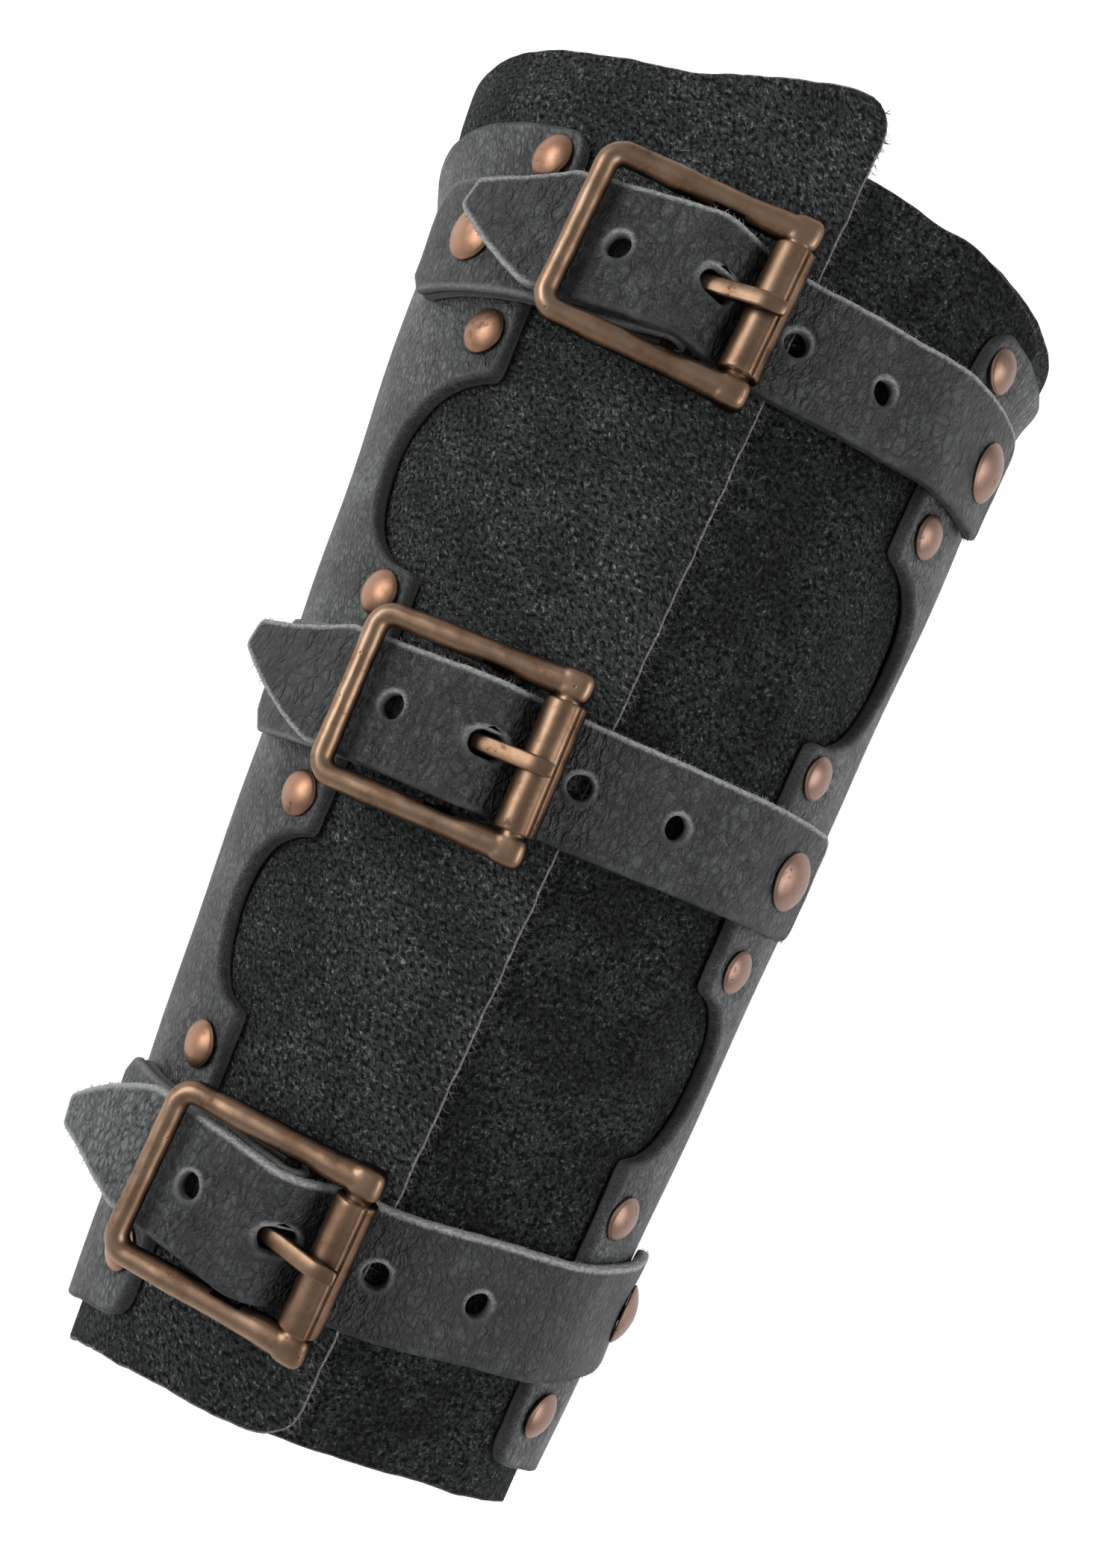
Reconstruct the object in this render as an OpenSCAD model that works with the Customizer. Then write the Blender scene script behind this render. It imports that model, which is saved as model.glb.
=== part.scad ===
// Leather bracer for a forearm: a scalloped plate of grain leather over a suede wrap.
// The front is closed by a suede tongue and three straps with roller buckles.
// Millimetres. The bracer lies on its back: +Z is up, +Y points to the elbow.
// Arcs are measured along the leather from the front line, to the right as plus.

/* [Arm oval] */
// Half width of the arm opening at the middle strap
oval_half_w = 53; // [44:0.5:62]
// Growth of the half width for each millimetre towards the elbow
oval_taper = 0.066; // [0.04:0.002:0.08]
// Depth of the arm opening over its width
oval_depth_ratio = 0.85; // [0.8:0.01:0.95]
// Depth of the flat that the back of the plate rests on
rest_flat = 0.5; // [0.3:0.1:0.8]

/* [Leather] */
// Thickness of the outer plate
plate_t = 3; // [2:0.1:4]
// Thickness of the suede wrap
wrap_t = 1.8; // [1.2:0.1:2.4]
// Thickness of the suede tongue
tongue_t = 1.6; // [1.2:0.1:2.2]
// Air between two layers of leather
layer_gap = 0.3; // [0.25:0.05:0.5]

/* [Ends] */
// Distance between neighbouring straps
strap_pitch = 91; // [84:1:98]
// How far the elbow strap sits below its tab's middle
elbow_drop = 2.5; // [0:0.5:4]
// Wrap past the elbow strap, at the side
elbow_reach = 32; // [28:0.5:40]
// Extra reach of the flap at its elbow corner
elbow_crown = 11.5; // [4:0.5:16]
// Wrap past the wrist strap, at the side
wrist_reach = 45.6; // [38:0.2:52]
// How much shorter the wrist end is at the front
wrist_dip = 10.3; // [4:0.1:14]
// Shift of both end edges towards the wrist at the back
back_drop = 3; // [0:0.5:6]
// Wrap that shows past the plate at the elbow end
elbow_border = 9.5; // [4:0.5:12]
// Wrap that shows past the plate at the wrist end
wrist_border = 8; // [4:0.5:12]

/* [Flap and tongue] */
// Arc from the front line to the flap's edge at the elbow strap
flap_elbow = 11.5; // [8:0.5:16]
// Arc from the front line to the flap's edge at the wrist strap
flap_wrist = 3; // [1:0.5:8]
// Corner radius of the flap
flap_corner = 8; // [3:0.5:12]
// Arc to the hidden right edge of the wrap
wrap_right = 40; // [34:0.5:42]
// Arc to the hidden left edge of the tongue, counted to the left
tongue_left = 14; // [10:0.5:15]
// Arc to the right edge of the tongue
tongue_right = 58.5; // [57:0.5:60]
// Corner radius of the tongue
tongue_corner = 5; // [2:0.5:8]
// How much lower the tongue's right elbow corner is
tongue_fall = 3.7; // [0:0.1:6]
// Length over which a layer climbs over the edge of another
climb = 8; // [6:0.5:10]

/* [Plate tabs] */
// Arc to the front edges of the left tabs, counted to the left
tab_left = 38.3; // [37:0.1:40]
// Arc to the front edge of the right middle tab
tab_right = 45.3; // [44:0.1:47]
// Change of that arc for each millimetre towards the elbow
tab_right_taper = 0.04; // [0:0.005:0.05]
// Elbow strap to the wrist side of its tab
elbow_tab_half = 26.5; // [24:0.5:30]
// Middle strap to either side of its tab
middle_tab_half = 26; // [24:0.5:30]
// Wrist strap to the elbow side of its tab
wrist_tab_half = 31; // [26:0.5:34]
// Arc depth of the scallops between elbow and middle tabs
upper_scallop = 19.5; // [10:0.5:22]
// Arc depth of the scallops between middle and wrist tabs
lower_scallop = 14; // [8:0.5:18]
// Place of a scallop's deepest point, as a share from its elbow end
scallop_deep = 0.42; // [0.3:0.01:0.6]
// Corner radius of the tabs at both ends of the plate
tab_corner = 3; // [1:0.5:5]

/* [Straps] */
// Width of the straps
strap_w = 23; // [20:0.5:24]
// Thickness of the holed straps
strap_t = 2.4; // [2:0.1:2.8]
// Thickness of the short straps, thinned to fold round the bar
fold_t = 1.8; // [1.4:0.1:2.2]
// Air between the two layers of a short strap
ply_gap = 0.25; // [0.2:0.05:0.4]
// Arc to the left ends of the short straps, elbow to wrist
short_end = [68, 64.5, 61.5]; // [60:0.5:72]
// Air between the fold round a bar and the holed strap over it
over_gap = 0.45; // [0.4:0.05:0.7]
// Air between a tail and the rivet cap under it
tail_gap = 0.6; // [0.5:0.05:0.9]
// How much shorter the lower layer of a short strap is
ply_step = 2.5; // [1:0.5:4]
// Arc to the right ends of the holed straps, elbow to wrist
holed_end = [72, 62, 73]; // [60:0.5:74]
// Length of the free tails, elbow to wrist
tail_len = [23, 27, 28]; // [20:1:34]
// Sideways bend of the tails at their tips
tail_side = [3, 4, -5]; // [-6:0.5:6]
// Width of the blunt tip of a tail
tip_w = 6; // [4:0.5:10]
// Corner cut at the ends of the straps
end_cut = 4; // [2:0.5:6]
// Turn of the short straps and buckles, elbow to wrist
short_turn = [-4, -2, -4.5]; // [-6:0.5:6]
// Turn of the right ends of the holed straps, elbow to wrist
holed_turn = [4.5, 2, 3]; // [-6:0.5:6]
// Arc over which a holed strap swings from the turn of its buckle to its own
swing_reach = 16; // [12:1:24]
// Radius of the strap holes
hole_r = 2.35; // [2.2:0.05:2.6]
// Distance between strap holes, along the strap
hole_pitch = 19.5; // [18.5:0.5:21]
// Extra length of the hole that the prong has stretched
hole_stretch = 2.6; // [2:0.1:3.4]

/* [Buckles] */
// Arc from the front line to the centre bars, elbow to wrist
bar_arc = [-8.4, -14.4, -15.8]; // [-17:0.2:-7]
// Clear height inside a frame
window_h = 25.5; // [25:0.1:27]
// Centre bar to left bar
left_reach = 22.3; // [21:0.1:24]
// Centre bar to right bar
right_reach = 13.5; // [13:0.1:15]
// Thickness of the left bar
left_bar_d = 4; // [3:0.1:4.5]
// Thickness of the frame's sides at their waist
waist_d = 3.3; // [2.6:0.1:3.8]
// Thickness of the lumps at the roller's ends
lump_d = 5.5; // [5.2:0.1:6]
// Thickness of the centre bar
centre_bar_d = 3; // [2.4:0.1:3.4]
// Thickness of the right bar, inside the roller
right_bar_d = 4.8; // [4:0.1:5]
// How far the centre bar lies below the frame's plane
bar_drop = 2; // [1.6:0.1:2.2]
// Corner radius of the left bar
frame_corner = 5; // [3.5:0.5:6]
// Outer diameter of a roller
roller_d = 7.8; // [7.2:0.1:8.2]
// Play at each end of a roller
roller_play = 0.5; // [0.3:0.1:1]
// Width of the seam along a roller
roller_seam = 0.5; // [0.3:0.1:0.8]
// Radial clearance of rollers and prong eyes
run_gap = 0.06; // [0.03:0.01:0.1]
// Width of a prong
prong_w = 3.1; // [2.6:0.1:3.4]
// Thickness of a prong
prong_t = 1.8; // [1.4:0.1:2]
// Wall of a prong's eye
eye_wall = 1.3; // [1:0.1:1.4]
// Prong past the roller's axis
prong_over = 3; // [1:0.5:4]
// Air under what rests on leather or on a roller
rest_gap = 0.35; // [0.3:0.05:0.45]
// Air under the roller, which lets the frame rock
roller_gap = 0.5; // [0.4:0.05:0.7]
// Air under the left bar, which lets the frame rock
rock_gap = 0.7; // [0.6:0.05:0.9]

/* [Rivets] */
// Diameter of the small caps
small_cap_d = 9; // [7:0.5:10]
// Height of the small caps
small_cap_h = 2.2; // [1.6:0.1:2.8]
// Diameter of the large caps
large_cap_d = 12; // [10:0.5:13]
// Height of the large caps
large_cap_h = 2.6; // [2:0.1:3]
// Radius of the small posts
small_post_r = 1.3; // [1:0.1:1.6]
// Radius of the large posts
large_post_r = 1.6; // [1.3:0.1:2]
// Clearance of a post in its holes
post_gap = 0.2; // [0.1:0.05:0.3]
// Thickness of the inner base discs
base_t = 0.9; // [0.7:0.1:1.2]
// Air between the wrap and a base disc, which is flat
base_gap = 0.5; // [0.45:0.05:0.7]
// Edge of a left or right tab to the small rivets
rivet_edge = 6.3; // [5.5:0.1:8]
// Strap's middle line to the small rivets, elbow to wrist
rivet_half = [17.5, 20, 20]; // [17:0.5:22]
// Arc to the large left rivets, counted to the left
large_left = 52.5; // [50:0.5:54]
// Arc to the large right rivets, elbow to wrist
large_right = [62, 52.5, 64]; // [52:0.5:66]

/* [Hidden] */

strap_y = [strap_pitch - elbow_drop, 0, -strap_pitch];
elbow_side = strap_pitch + elbow_reach;
wrist_side = strap_pitch + wrist_reach;
// The origin lies under the middle of the whole bracer
mid_x = 0;
mid_y = (wrist_side + back_drop - elbow_side - elbow_crown) / 2;

// Layers, as distances out from the arm oval
flap_out = tongue_t + layer_gap + wrap_t;
plate_in_left = wrap_t + layer_gap;
plate_in_right = plate_in_left + tongue_t + layer_gap;
// Heights above the outside of the flap
left_tab_h = plate_in_left + plate_t - flap_out;
right_tab_h = plate_in_right + plate_t - flap_out;
edge_margin = 2;
plate_relax = 12;
spare = 0.1;

// Vectors
function unit(v) = v / norm(v);
function smooth(x) = let (c = max(0, min(1, x))) c * c * (3 - 2 * c);
function turn2(v) = let (t = atan2(v[1], v[0])) t < 0 ? t + 360 : t;
function right_of(t) = [sin(t), -cos(t)];
function ahead(t) = [cos(t), sin(t)];

// Oval cone of the arm, lying on the back of the plate
function half_w(y) = oval_half_w + oval_taper * y;
function half_d(y) = oval_depth_ratio * half_w(y);
function oval_z(y) = half_d(y) + plate_in_left + plate_t - rest_flat;
function skin(phi, y, off) = [mid_x + (half_w(y) + off) * sin(phi), mid_y + y,
    oval_z(y) + (half_d(y) + off) * cos(phi)];
function flat_share(y) = (1 - oval_depth_ratio) * half_w(y) / (half_w(y) + flap_out);
function arc_at(phi, y) = let (k = flat_share(y))
    (half_w(y) + flap_out) * ((1 - k / 2) * phi * PI / 180 + k / 4 * sin(2 * phi));
function phi_at(arc, y, n = 6, g = 0) = n == 0 ? g :
    let (k = flat_share(y))
    phi_at(arc, y, n - 1,
        (arc / (half_w(y) + flap_out) - k / 4 * sin(2 * g)) / (1 - k / 2) * 180 / PI);
function round_dir(phi, y) = unit([(half_w(y) + flap_out) * cos(phi), 0,
    -(half_d(y) + flap_out) * sin(phi)]);
function long_dir(phi) = unit([oval_taper * sin(phi), 1,
    oval_depth_ratio * oval_taper * (1 + cos(phi))]);
function out_dir(phi, y) = unit(cross(round_dir(phi, y), long_dir(phi)));
function lifted(arc, y, h) = let (phi = phi_at(arc, y))
    skin(phi, y, flap_out) + h * out_dir(phi, y);

// End edges. The angle runs from the right, round the back and the left, to the flap
function wrap_elbow_y(phi) = elbow_side
    + (phi > 270 ? elbow_crown * pow(min(1, (phi - 270) / 90), 3.5) : 0)
    - (phi > 90 && phi < 270 ? back_drop * pow(sin(phi - 90), 2) : 0);
function front_turn(phi) = phi > 180 ? abs(phi - 360) : abs(phi);
function wrap_wrist_y(phi) = let (m = front_turn(phi))
    -wrist_side + (m < 90 ? wrist_dip * (1 - pow(m / 90, 2.4)) : 0)
    - (m > 90 ? back_drop * pow(sin(m - 90), 2) : 0);
function corner_cut(d, r) = d >= r ? 0 : r - sqrt(max(0, r * r - (r - d) * (r - d)));

// Layers that climb over others
function wrap_in(phi, y) = phi < 180 ? 0 : (tongue_t + layer_gap)
    * smooth((arc_at(phi - 360, y) + tongue_left + edge_margin + climb) / climb);
function tongue_in(arc) = (wrap_t + layer_gap)
    * smooth((arc - wrap_right + edge_margin + climb) / climb);
function plate_in(phi, y) = phi > 180 ? plate_in_left : plate_in_left
    + (plate_in_right - plate_in_left)
    * (1 - smooth((arc_at(phi, y) - max(holed_end) - edge_margin) / plate_relax));
function short_low_h(arc) = rest_gap
    + left_tab_h * smooth((-arc - tab_left + edge_margin + climb) / climb);
function holed_low_h(arc, y) = rest_gap
    + right_tab_h * smooth((arc - right_edge(y) + edge_margin + 2 * climb) / (2 * climb));

// Front edges of the plate, with a scallop between neighbouring tabs
function right_edge(y) = tab_right + tab_right_taper * y;
upper_ends = [strap_pitch - elbow_tab_half, middle_tab_half];
lower_ends = [-middle_tab_half, wrist_tab_half - strap_pitch];
function scallop_mid(ends) = ends[0] + scallop_deep * (ends[1] - ends[0]);
function scallop_at(y, ends, depth) = y >= ends[0] || y <= ends[1] ? 0 :
    let (m = scallop_mid(ends), side = y > m ? ends[0] - m : m - ends[1],
        x = (y - m) / side) depth * sqrt(max(0, 1 - x * x));
function scallop(y) = scallop_at(y, upper_ends, upper_scallop)
    + scallop_at(y, lower_ends, lower_scallop);
function scallop_rows(ends, n = 7) = let (m = scallop_mid(ends)) concat(
    [for (k = [0:n]) m - (m - ends[1]) * cos(90 * k / n)],
    [for (k = [1:n]) m + (ends[0] - m) * sin(90 * k / n)]);

// Closed slab between two grids of points
module slab(outer, inner) {
    rows = len(outer);
    cols = len(outer[0]);
    n = rows * cols;
    points = concat([for (r = outer) for (p = r) p], [for (r = inner) for (p = r) p]);
    faces = concat(
        [for (r = [0:rows - 2]) for (c = [0:cols - 2]) let (a = r * cols + c)
            each [[a, a + cols, a + 1], [a + 1, a + cols, a + cols + 1]]],
        [for (r = [0:rows - 2]) for (c = [0:cols - 2]) let (a = n + r * cols + c)
            each [[a, a + 1, a + cols], [a + 1, a + cols + 1, a + cols]]],
        [for (r = [0:rows - 2]) let (a = r * cols)
            each [[a, n + a, a + cols], [n + a, n + a + cols, a + cols]]],
        [for (r = [0:rows - 2]) let (a = r * cols + cols - 1)
            each [[a, a + cols, n + a], [n + a, a + cols, n + a + cols]]],
        [for (c = [0:cols - 2]) let (a = c)
            each [[a, a + 1, n + a], [n + a, a + 1, n + a + 1]]],
        [for (c = [0:cols - 2]) let (a = (rows - 1) * cols + c)
            each [[a, n + a, a + 1], [n + a, n + a + 1, a + 1]]]);
    polyhedron(points, faces, convexity = 8);
}

// Band of leather along stations of [middle point, direction across, width]
module band(st, t) {
    n = len(st);
    function way(k) = unit(st[min(k + 1, n - 1)][0] - st[max(k - 1, 0)][0]);
    points = [for (k = [0:n - 1]) let (v = unit(st[k][1]), w = st[k][2] / 2,
            u = unit(cross(v, way(k))) * t / 2)
        each [st[k][0] + w * v + u, st[k][0] - w * v + u,
            st[k][0] - w * v - u, st[k][0] + w * v - u]];
    faces = concat(
        [for (k = [0:n - 2]) for (j = [0:3]) let (a = 4 * k + j, b = 4 * k + (j + 1) % 4)
            each [[a, b, a + 4], [b, b + 4, a + 4]]],
        [[0, 2, 1], [0, 3, 2]],
        [[4 * n - 4, 4 * n - 3, 4 * n - 2], [4 * n - 4, 4 * n - 2, 4 * n - 1]]);
    polyhedron(points, faces, convexity = 6);
}

// Seat children on a point, with their X, Y and Z along three unit vectors
module seat(p, u, v, w) {
    translate(p) rotate([atan2(v[2], w[2]), -asin(u[2]), atan2(u[1], u[0])]) children();
}

// Local frame of strap i: foot of its centre bar, along, across and out
bar_phi = [for (i = [0:2]) phi_at(bar_arc[i], strap_y[i])];
foot = [for (i = [0:2]) skin(bar_phi[i], strap_y[i], flap_out)];
out = [for (i = [0:2]) out_dir(bar_phi[i], strap_y[i])];
along0 = [for (i = [0:2]) round_dir(bar_phi[i], strap_y[i])];
across0 = [for (i = [0:2]) cross(out[i], along0[i])];
function turned(i, t) = [along0[i] * cos(t) + across0[i] * sin(t),
    across0[i] * cos(t) - along0[i] * sin(t)];
function strap_y_at(i, arc, t) = strap_y[i] + (arc - bar_arc[i]) * sin(t);

// Course of a holed strap: in line with its buckle at the roller, then swung to its own turn
function past_roller(i, arc) = arc - bar_arc[i] - right_reach;
function swing(i, arc) = min(1, max(0, past_roller(i, arc) / swing_reach));
function holed_way(i, arc) = short_turn[i] + (holed_turn[i] - short_turn[i]) * swing(i, arc);
function holed_y_at(i, arc) = let (x = swing(i, arc), s = sin(short_turn[i]), e = sin(holed_turn[i]))
    strap_y[i] + right_reach * s + past_roller(i, arc) * e
    + (s - e) * swing_reach * (x - x * x / 2);

// Arc and height of the flap's outside at a distance u from the bar's foot
function ground_arc(i, u, n = 5, arc = undef) = let (
        g = is_undef(arc) ? bar_arc[i] + u : arc, d = turned(i, short_turn[i])[0],
        p = lifted(g, strap_y_at(i, g, short_turn[i]), 0) - foot[i])
    n == 0 ? g : ground_arc(i, u, n - 1, g + u - p * d);
function ground(i, u) = let (g = ground_arc(i, u))
    (lifted(g, strap_y_at(i, g, short_turn[i]), 0) - foot[i]) * out[i];
function ground_turn(i, u) = atan((ground(i, u + 1) - ground(i, u - 1)) / 2);

// Heights of the left bar and the roller, and the pitch and lift that follow
hinge_reach = 4;
hinge_gap = 0.3;
left_top = [for (i = [0:2]) 2 * fold_t + ply_gap
    + short_low_h(ground_arc(i, -left_reach - hinge_reach - 2))];
left_h = [for (i = [0:2]) ground(i, -left_reach) + (left_top[i] + rest_gap + strap_t
    + rock_gap + left_bar_d / 2) / cos(ground_turn(i, -left_reach))];
right_h = [for (i = [0:2]) ground(i, right_reach)
    + (rest_gap + roller_gap + strap_t + roller_d / 2) / cos(ground_turn(i, right_reach))];
pitch = [for (i = [0:2]) asin((left_h[i] - right_h[i]) / (left_reach + right_reach))];
bar_h = [for (i = [0:2]) right_h[i] + right_reach * sin(pitch[i]) - bar_drop * cos(pitch[i])];
function framed(i, x, z) = [x * cos(pitch[i]) + z * sin(pitch[i]),
    bar_h[i] - x * sin(pitch[i]) + z * cos(pitch[i])];
function near_point(i, arc, h, t) = let (
        p = lifted(arc, strap_y_at(i, arc, short_turn[i]), h) - foot[i])
    [p * turned(i, t)[0], p * out[i]];
function spot(i, t, p) = foot[i] + p[0] * turned(i, t)[0] + p[1] * out[i];

// Path of a holed strap: under the roller, over the centre bar, under the left bar
fold_r = centre_bar_d / 2 + spare + fold_t / 2;
under_r = roller_d / 2 + roller_gap + strap_t / 2;
over_r = centre_bar_d / 2 + spare + fold_t + over_gap + strap_t / 2;
left_r = left_bar_d / 2 + rock_gap + strap_t / 2;
bar_c = [for (i = [0:2]) framed(i, 0, 0)];
right_c = [for (i = [0:2]) framed(i, right_reach, bar_drop)];
left_c = [for (i = [0:2]) framed(i, -left_reach, bar_drop)];
rise = [for (i = [0:2]) turn2(bar_c[i] - right_c[i])
    - asin((under_r + over_r) / norm(bar_c[i] - right_c[i]))];
fall = [for (i = [0:2]) turn2(left_c[i] - bar_c[i])
    + asin((over_r + left_r) / norm(left_c[i] - bar_c[i]))];
enter = [for (i = [0:2]) 180 + ground_turn(i, right_reach)];
bend_n = 6;
hinge_at = [for (i = [0:2]) left_c[i] - left_r * right_of(fall[i]) + hinge_reach * ahead(fall[i])];
function arc_pts(c, r, from, to) = [for (k = [0:bend_n])
    c + r * right_of(from + (to - from) * k / bend_n)];
function frame_path(i) = concat(
    arc_pts(right_c[i], -under_r, enter[i], rise[i]),
    arc_pts(bar_c[i], over_r, rise[i], fall[i]),
    [left_c[i] - left_r * right_of(fall[i]), hinge_at[i]]);
function across_at(arc, y, t) = let (phi = phi_at(arc, y))
    long_dir(phi) * cos(t) - round_dir(phi, y) * sin(t);
function skin_station(i, arc, h, t, w) = let (y = strap_y_at(i, arc, t))
    [lifted(arc, y, h), across_at(arc, y, t), w];
function holed_station(i, arc, w) = let (y = holed_y_at(i, arc))
    [lifted(arc, y, holed_low_h(arc, strap_y[i]) + strap_t / 2),
        across_at(arc, y, holed_way(i, arc)), w];
function end_w(d) = strap_w - 2 * end_cut * (1 - min(1, d / end_cut));
function round_end_w(d) = strap_w - 2 * corner_cut(d, end_cut);
skin_step = 4.5;
function holed_stations(i) = let (t = short_turn[i], last = holed_end[i],
        first = ground_arc(i, right_reach) + skin_step, n = ceil((last - first) / skin_step))
    concat(
        [for (d = [0, 0.15, 0.5, 1] * end_cut) holed_station(i, last - d, round_end_w(d))],
        [for (k = [1:n]) let (arc = last - end_cut - (last - end_cut - first) * k / n)
            holed_station(i, arc, strap_w)],
        [for (p = frame_path(i)) [spot(i, t, p), turned(i, t)[1], strap_w]]);

// Place at a length s along stations: [point, way, across]
function at_length(st, s, k = 0) = let (a = st[k][0], b = st[k + 1][0], d = norm(b - a))
    s <= d || k == len(st) - 2 ? [a + unit(b - a) * s, unit(b - a), st[k][1]]
    : at_length(st, s - d, k + 1);
function length_to(st, n) = n == 0 ? 0 : norm(st[n][0] - st[n - 1][0]) + length_to(st, n - 1);

// Middle line of a prong, from its eye to the top of the roller
eye_r = centre_bar_d / 2 + run_gap + eye_wall;
prong_from = [1, eye_r - prong_t / 2 - spare];
prong_c = [right_reach, bar_drop];
prong_r = roller_d / 2 + rest_gap + prong_t / 2;
prong_turn = turn2(prong_c - prong_from) + asin(prong_r / norm(prong_c - prong_from));
prong_top = prong_c - prong_r * right_of(prong_turn);
prong_tip = prong_c + [prong_over, prong_r - 0.4];
function turn_area(a, b) = a[0] * b[1] - a[1] * b[0];
function meet_len(p, d, q, e) = turn_area(q - p, e) / turn_area(d, e);
function prong_hole_len(i) = let (st = holed_stations(i), k = len(st) - bend_n - 4,
        p = right_c[i] - under_r * right_of(rise[i]), q = framed(i, prong_from[0], prong_from[1]),
        e = framed(i, prong_top[0], prong_top[1]) - q)
    length_to(st, k) + meet_len(p, ahead(rise[i]), q, e);

// Path of a short strap: out under the bar, round it and back over itself
fold_n = 12;
low_lift = 6;
high_lift = 12;
function short_stations(i) = let (t = short_turn[i], low_end = short_end[i] - ply_step,
        near = -bar_arc[i] + low_lift, n = ceil((low_end - near) / skin_step),
        far = -bar_arc[i] + high_lift, m = ceil((short_end[i] - end_cut - far) / skin_step),
        low = near_point(i, -near, short_low_h(-near) + fold_t / 2, t) - bar_c[i],
        high = near_point(i, -far, short_low_h(-far) + 1.5 * fold_t + ply_gap, t) - bar_c[i],
        from = turn2(low) - 180 - asin(fold_r / norm(low)),
        to = turn2(high) + asin(fold_r / norm(high)))
    concat(
        [for (k = [0:n]) let (arc = -(low_end - (low_end - near) * k / n))
            skin_station(i, arc, short_low_h(arc) + fold_t / 2, t, strap_w)],
        [for (k = [0:fold_n])
            [spot(i, t, bar_c[i] + fold_r * right_of(from + (to - from) * k / fold_n)),
            turned(i, t)[1], strap_w]],
        [for (k = [0:m]) let (arc = -(far + (short_end[i] - end_cut - far) * k / m))
            skin_station(i, arc, short_low_h(arc) + 1.5 * fold_t + ply_gap, t, strap_w)],
        [let (arc = -short_end[i])
            skin_station(i, arc, short_low_h(arc) + 1.5 * fold_t + ply_gap, t, end_w(0))]);

// Path of a tail: it comes down on the cap of the large left rivet
function cap_point(i) = near_point(i, -large_left,
    large_left_h + spare + large_cap_h + tail_gap + strap_t / 2, short_turn[i]);
function tail_walk(p, turn, bend, s, n, step, stop) = n == 0 ? [p] :
    let (half = turn + bend * min(s + step / 2, stop))
    concat([p], tail_walk(p + step * ahead(half), turn, bend, s + step, n - 1, step, stop));
tail_n = 9;
function tail_path(i) = let (k = cap_point(i) - hinge_at[i], d = ahead(fall[i]),
        stop = k * d, dev = turn_area(d, k), bend = 2 * dev / (stop * stop) * 180 / PI)
    tail_walk(hinge_at[i] + hinge_gap * d, fall[i], bend, 0, tail_n, tail_len[i] / tail_n, stop);
function tail_w(x) = tip_w + (strap_w - tip_w) * min(1, (1 - x) / 0.85);
function tail_stations(i) = let (p = tail_path(i), v = turned(i, short_turn[i])[1])
    [for (k = [0:tail_n]) let (x = k / tail_n)
        [spot(i, short_turn[i], p[k]) + tail_side[i] * x * x * v, v, tail_w(x)]];

// Rivet sites: [arc, y, height of the seat above the flap's outside]
large_left_h = left_tab_h + rest_gap + 2 * fold_t + ply_gap;
large_right_h = right_tab_h + rest_gap + strap_t;
small_left_sites = [for (i = [0:2]) for (s = [-1, 1]) let (arc = -tab_left - rivet_edge)
    [arc, strap_y_at(i, arc, short_turn[i]) + s * rivet_half[i], left_tab_h]];
small_right_sites = [for (i = [0:2]) for (s = [-1, 1]) let (
        arc = right_edge(strap_y[i]) + rivet_edge)
    [arc, holed_y_at(i, arc) + s * rivet_half[i], right_tab_h]];
large_left_sites = [for (i = [0:2])
    [-large_left, strap_y_at(i, -large_left, short_turn[i]), large_left_h]];
large_right_sites = [for (i = [0:2])
    [large_right[i], holed_y_at(i, large_right[i]), large_right_h]];
small_sites = concat(small_left_sites, small_right_sites);
large_sites = concat(large_left_sites, large_right_sites);

module at_site(s) {
    phi = phi_at(s[0], s[1]);
    w = out_dir(phi, s[1]);
    u = round_dir(phi, s[1]);
    seat(lifted(s[0], s[1], 0), u, cross(w, u), w) children();
}
module cap(d, h, seat_h) {
    edge = 0.5;
    r = d / 2;
    dome_r = (r * r + (h - edge) * (h - edge)) / (2 * (h - edge));
    turn = asin(r / dome_r);
    translate([0, 0, seat_h + spare]) rotate_extrude($fn = 48)
        polygon(concat([[0, 0], [r, 0]], [for (k = [0:7]) let (a = turn * (1 - k / 7))
            [dome_r * sin(a), h - dome_r + dome_r * cos(a)]]));
}
module post(r, base_r, seat_h) {
    low = -flap_out - base_gap;
    translate([0, 0, low - base_t]) cylinder(r = base_r, h = base_t, $fn = 48);
    translate([0, 0, low]) cylinder(r = r, h = seat_h + spare - low, $fn = 32);
}
module post_holes(sites, r) {
    for (s = sites) at_site(s) translate([0, 0, -flap_out - 3])
        cylinder(r = r + post_gap, h = s[2] + flap_out + 6, $fn = 32);
}

// Leather sheets
plate_cols = 38;
function plate_point(row, c, out_by) = let (
        y0 = row[0], edge = row[1],
        from = phi_at(right_edge(y0) + scallop(y0) + edge, y0),
        to = 360 + phi_at(-tab_left - scallop(y0) - edge, y0),
        phi = from + (to - from) * c / plate_cols,
        y = row[2] > 0 ? y0 + row[2] * (wrap_elbow_y(min(phi, 300)) - elbow_border - y0)
            : row[2] < 0 ? y0 + row[2] * (y0 - wrap_wrist_y(phi) - wrist_border) : y0)
    skin(phi, y, plate_in(phi, y) + out_by);
end_shares = [0.3, 0.6, 0.84, 0.92, 0.97, 1];
end_pull = [0, 0, 0, 0.12, 0.4, 1] * tab_corner;
plate_rows = concat(
    [for (k = [5:-1:0]) [lower_ends[1], end_pull[k], -end_shares[k]]],
    [for (y = scallop_rows(lower_ends)) [y, 0, 0]],
    [for (s = [0.33, 0.67]) [lower_ends[0] + s * (upper_ends[1] - lower_ends[0]), 0, 0]],
    [for (y = scallop_rows(upper_ends)) [y, 0, 0]],
    [for (k = [0:5]) [upper_ends[0], end_pull[k], end_shares[k]]]);
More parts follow.
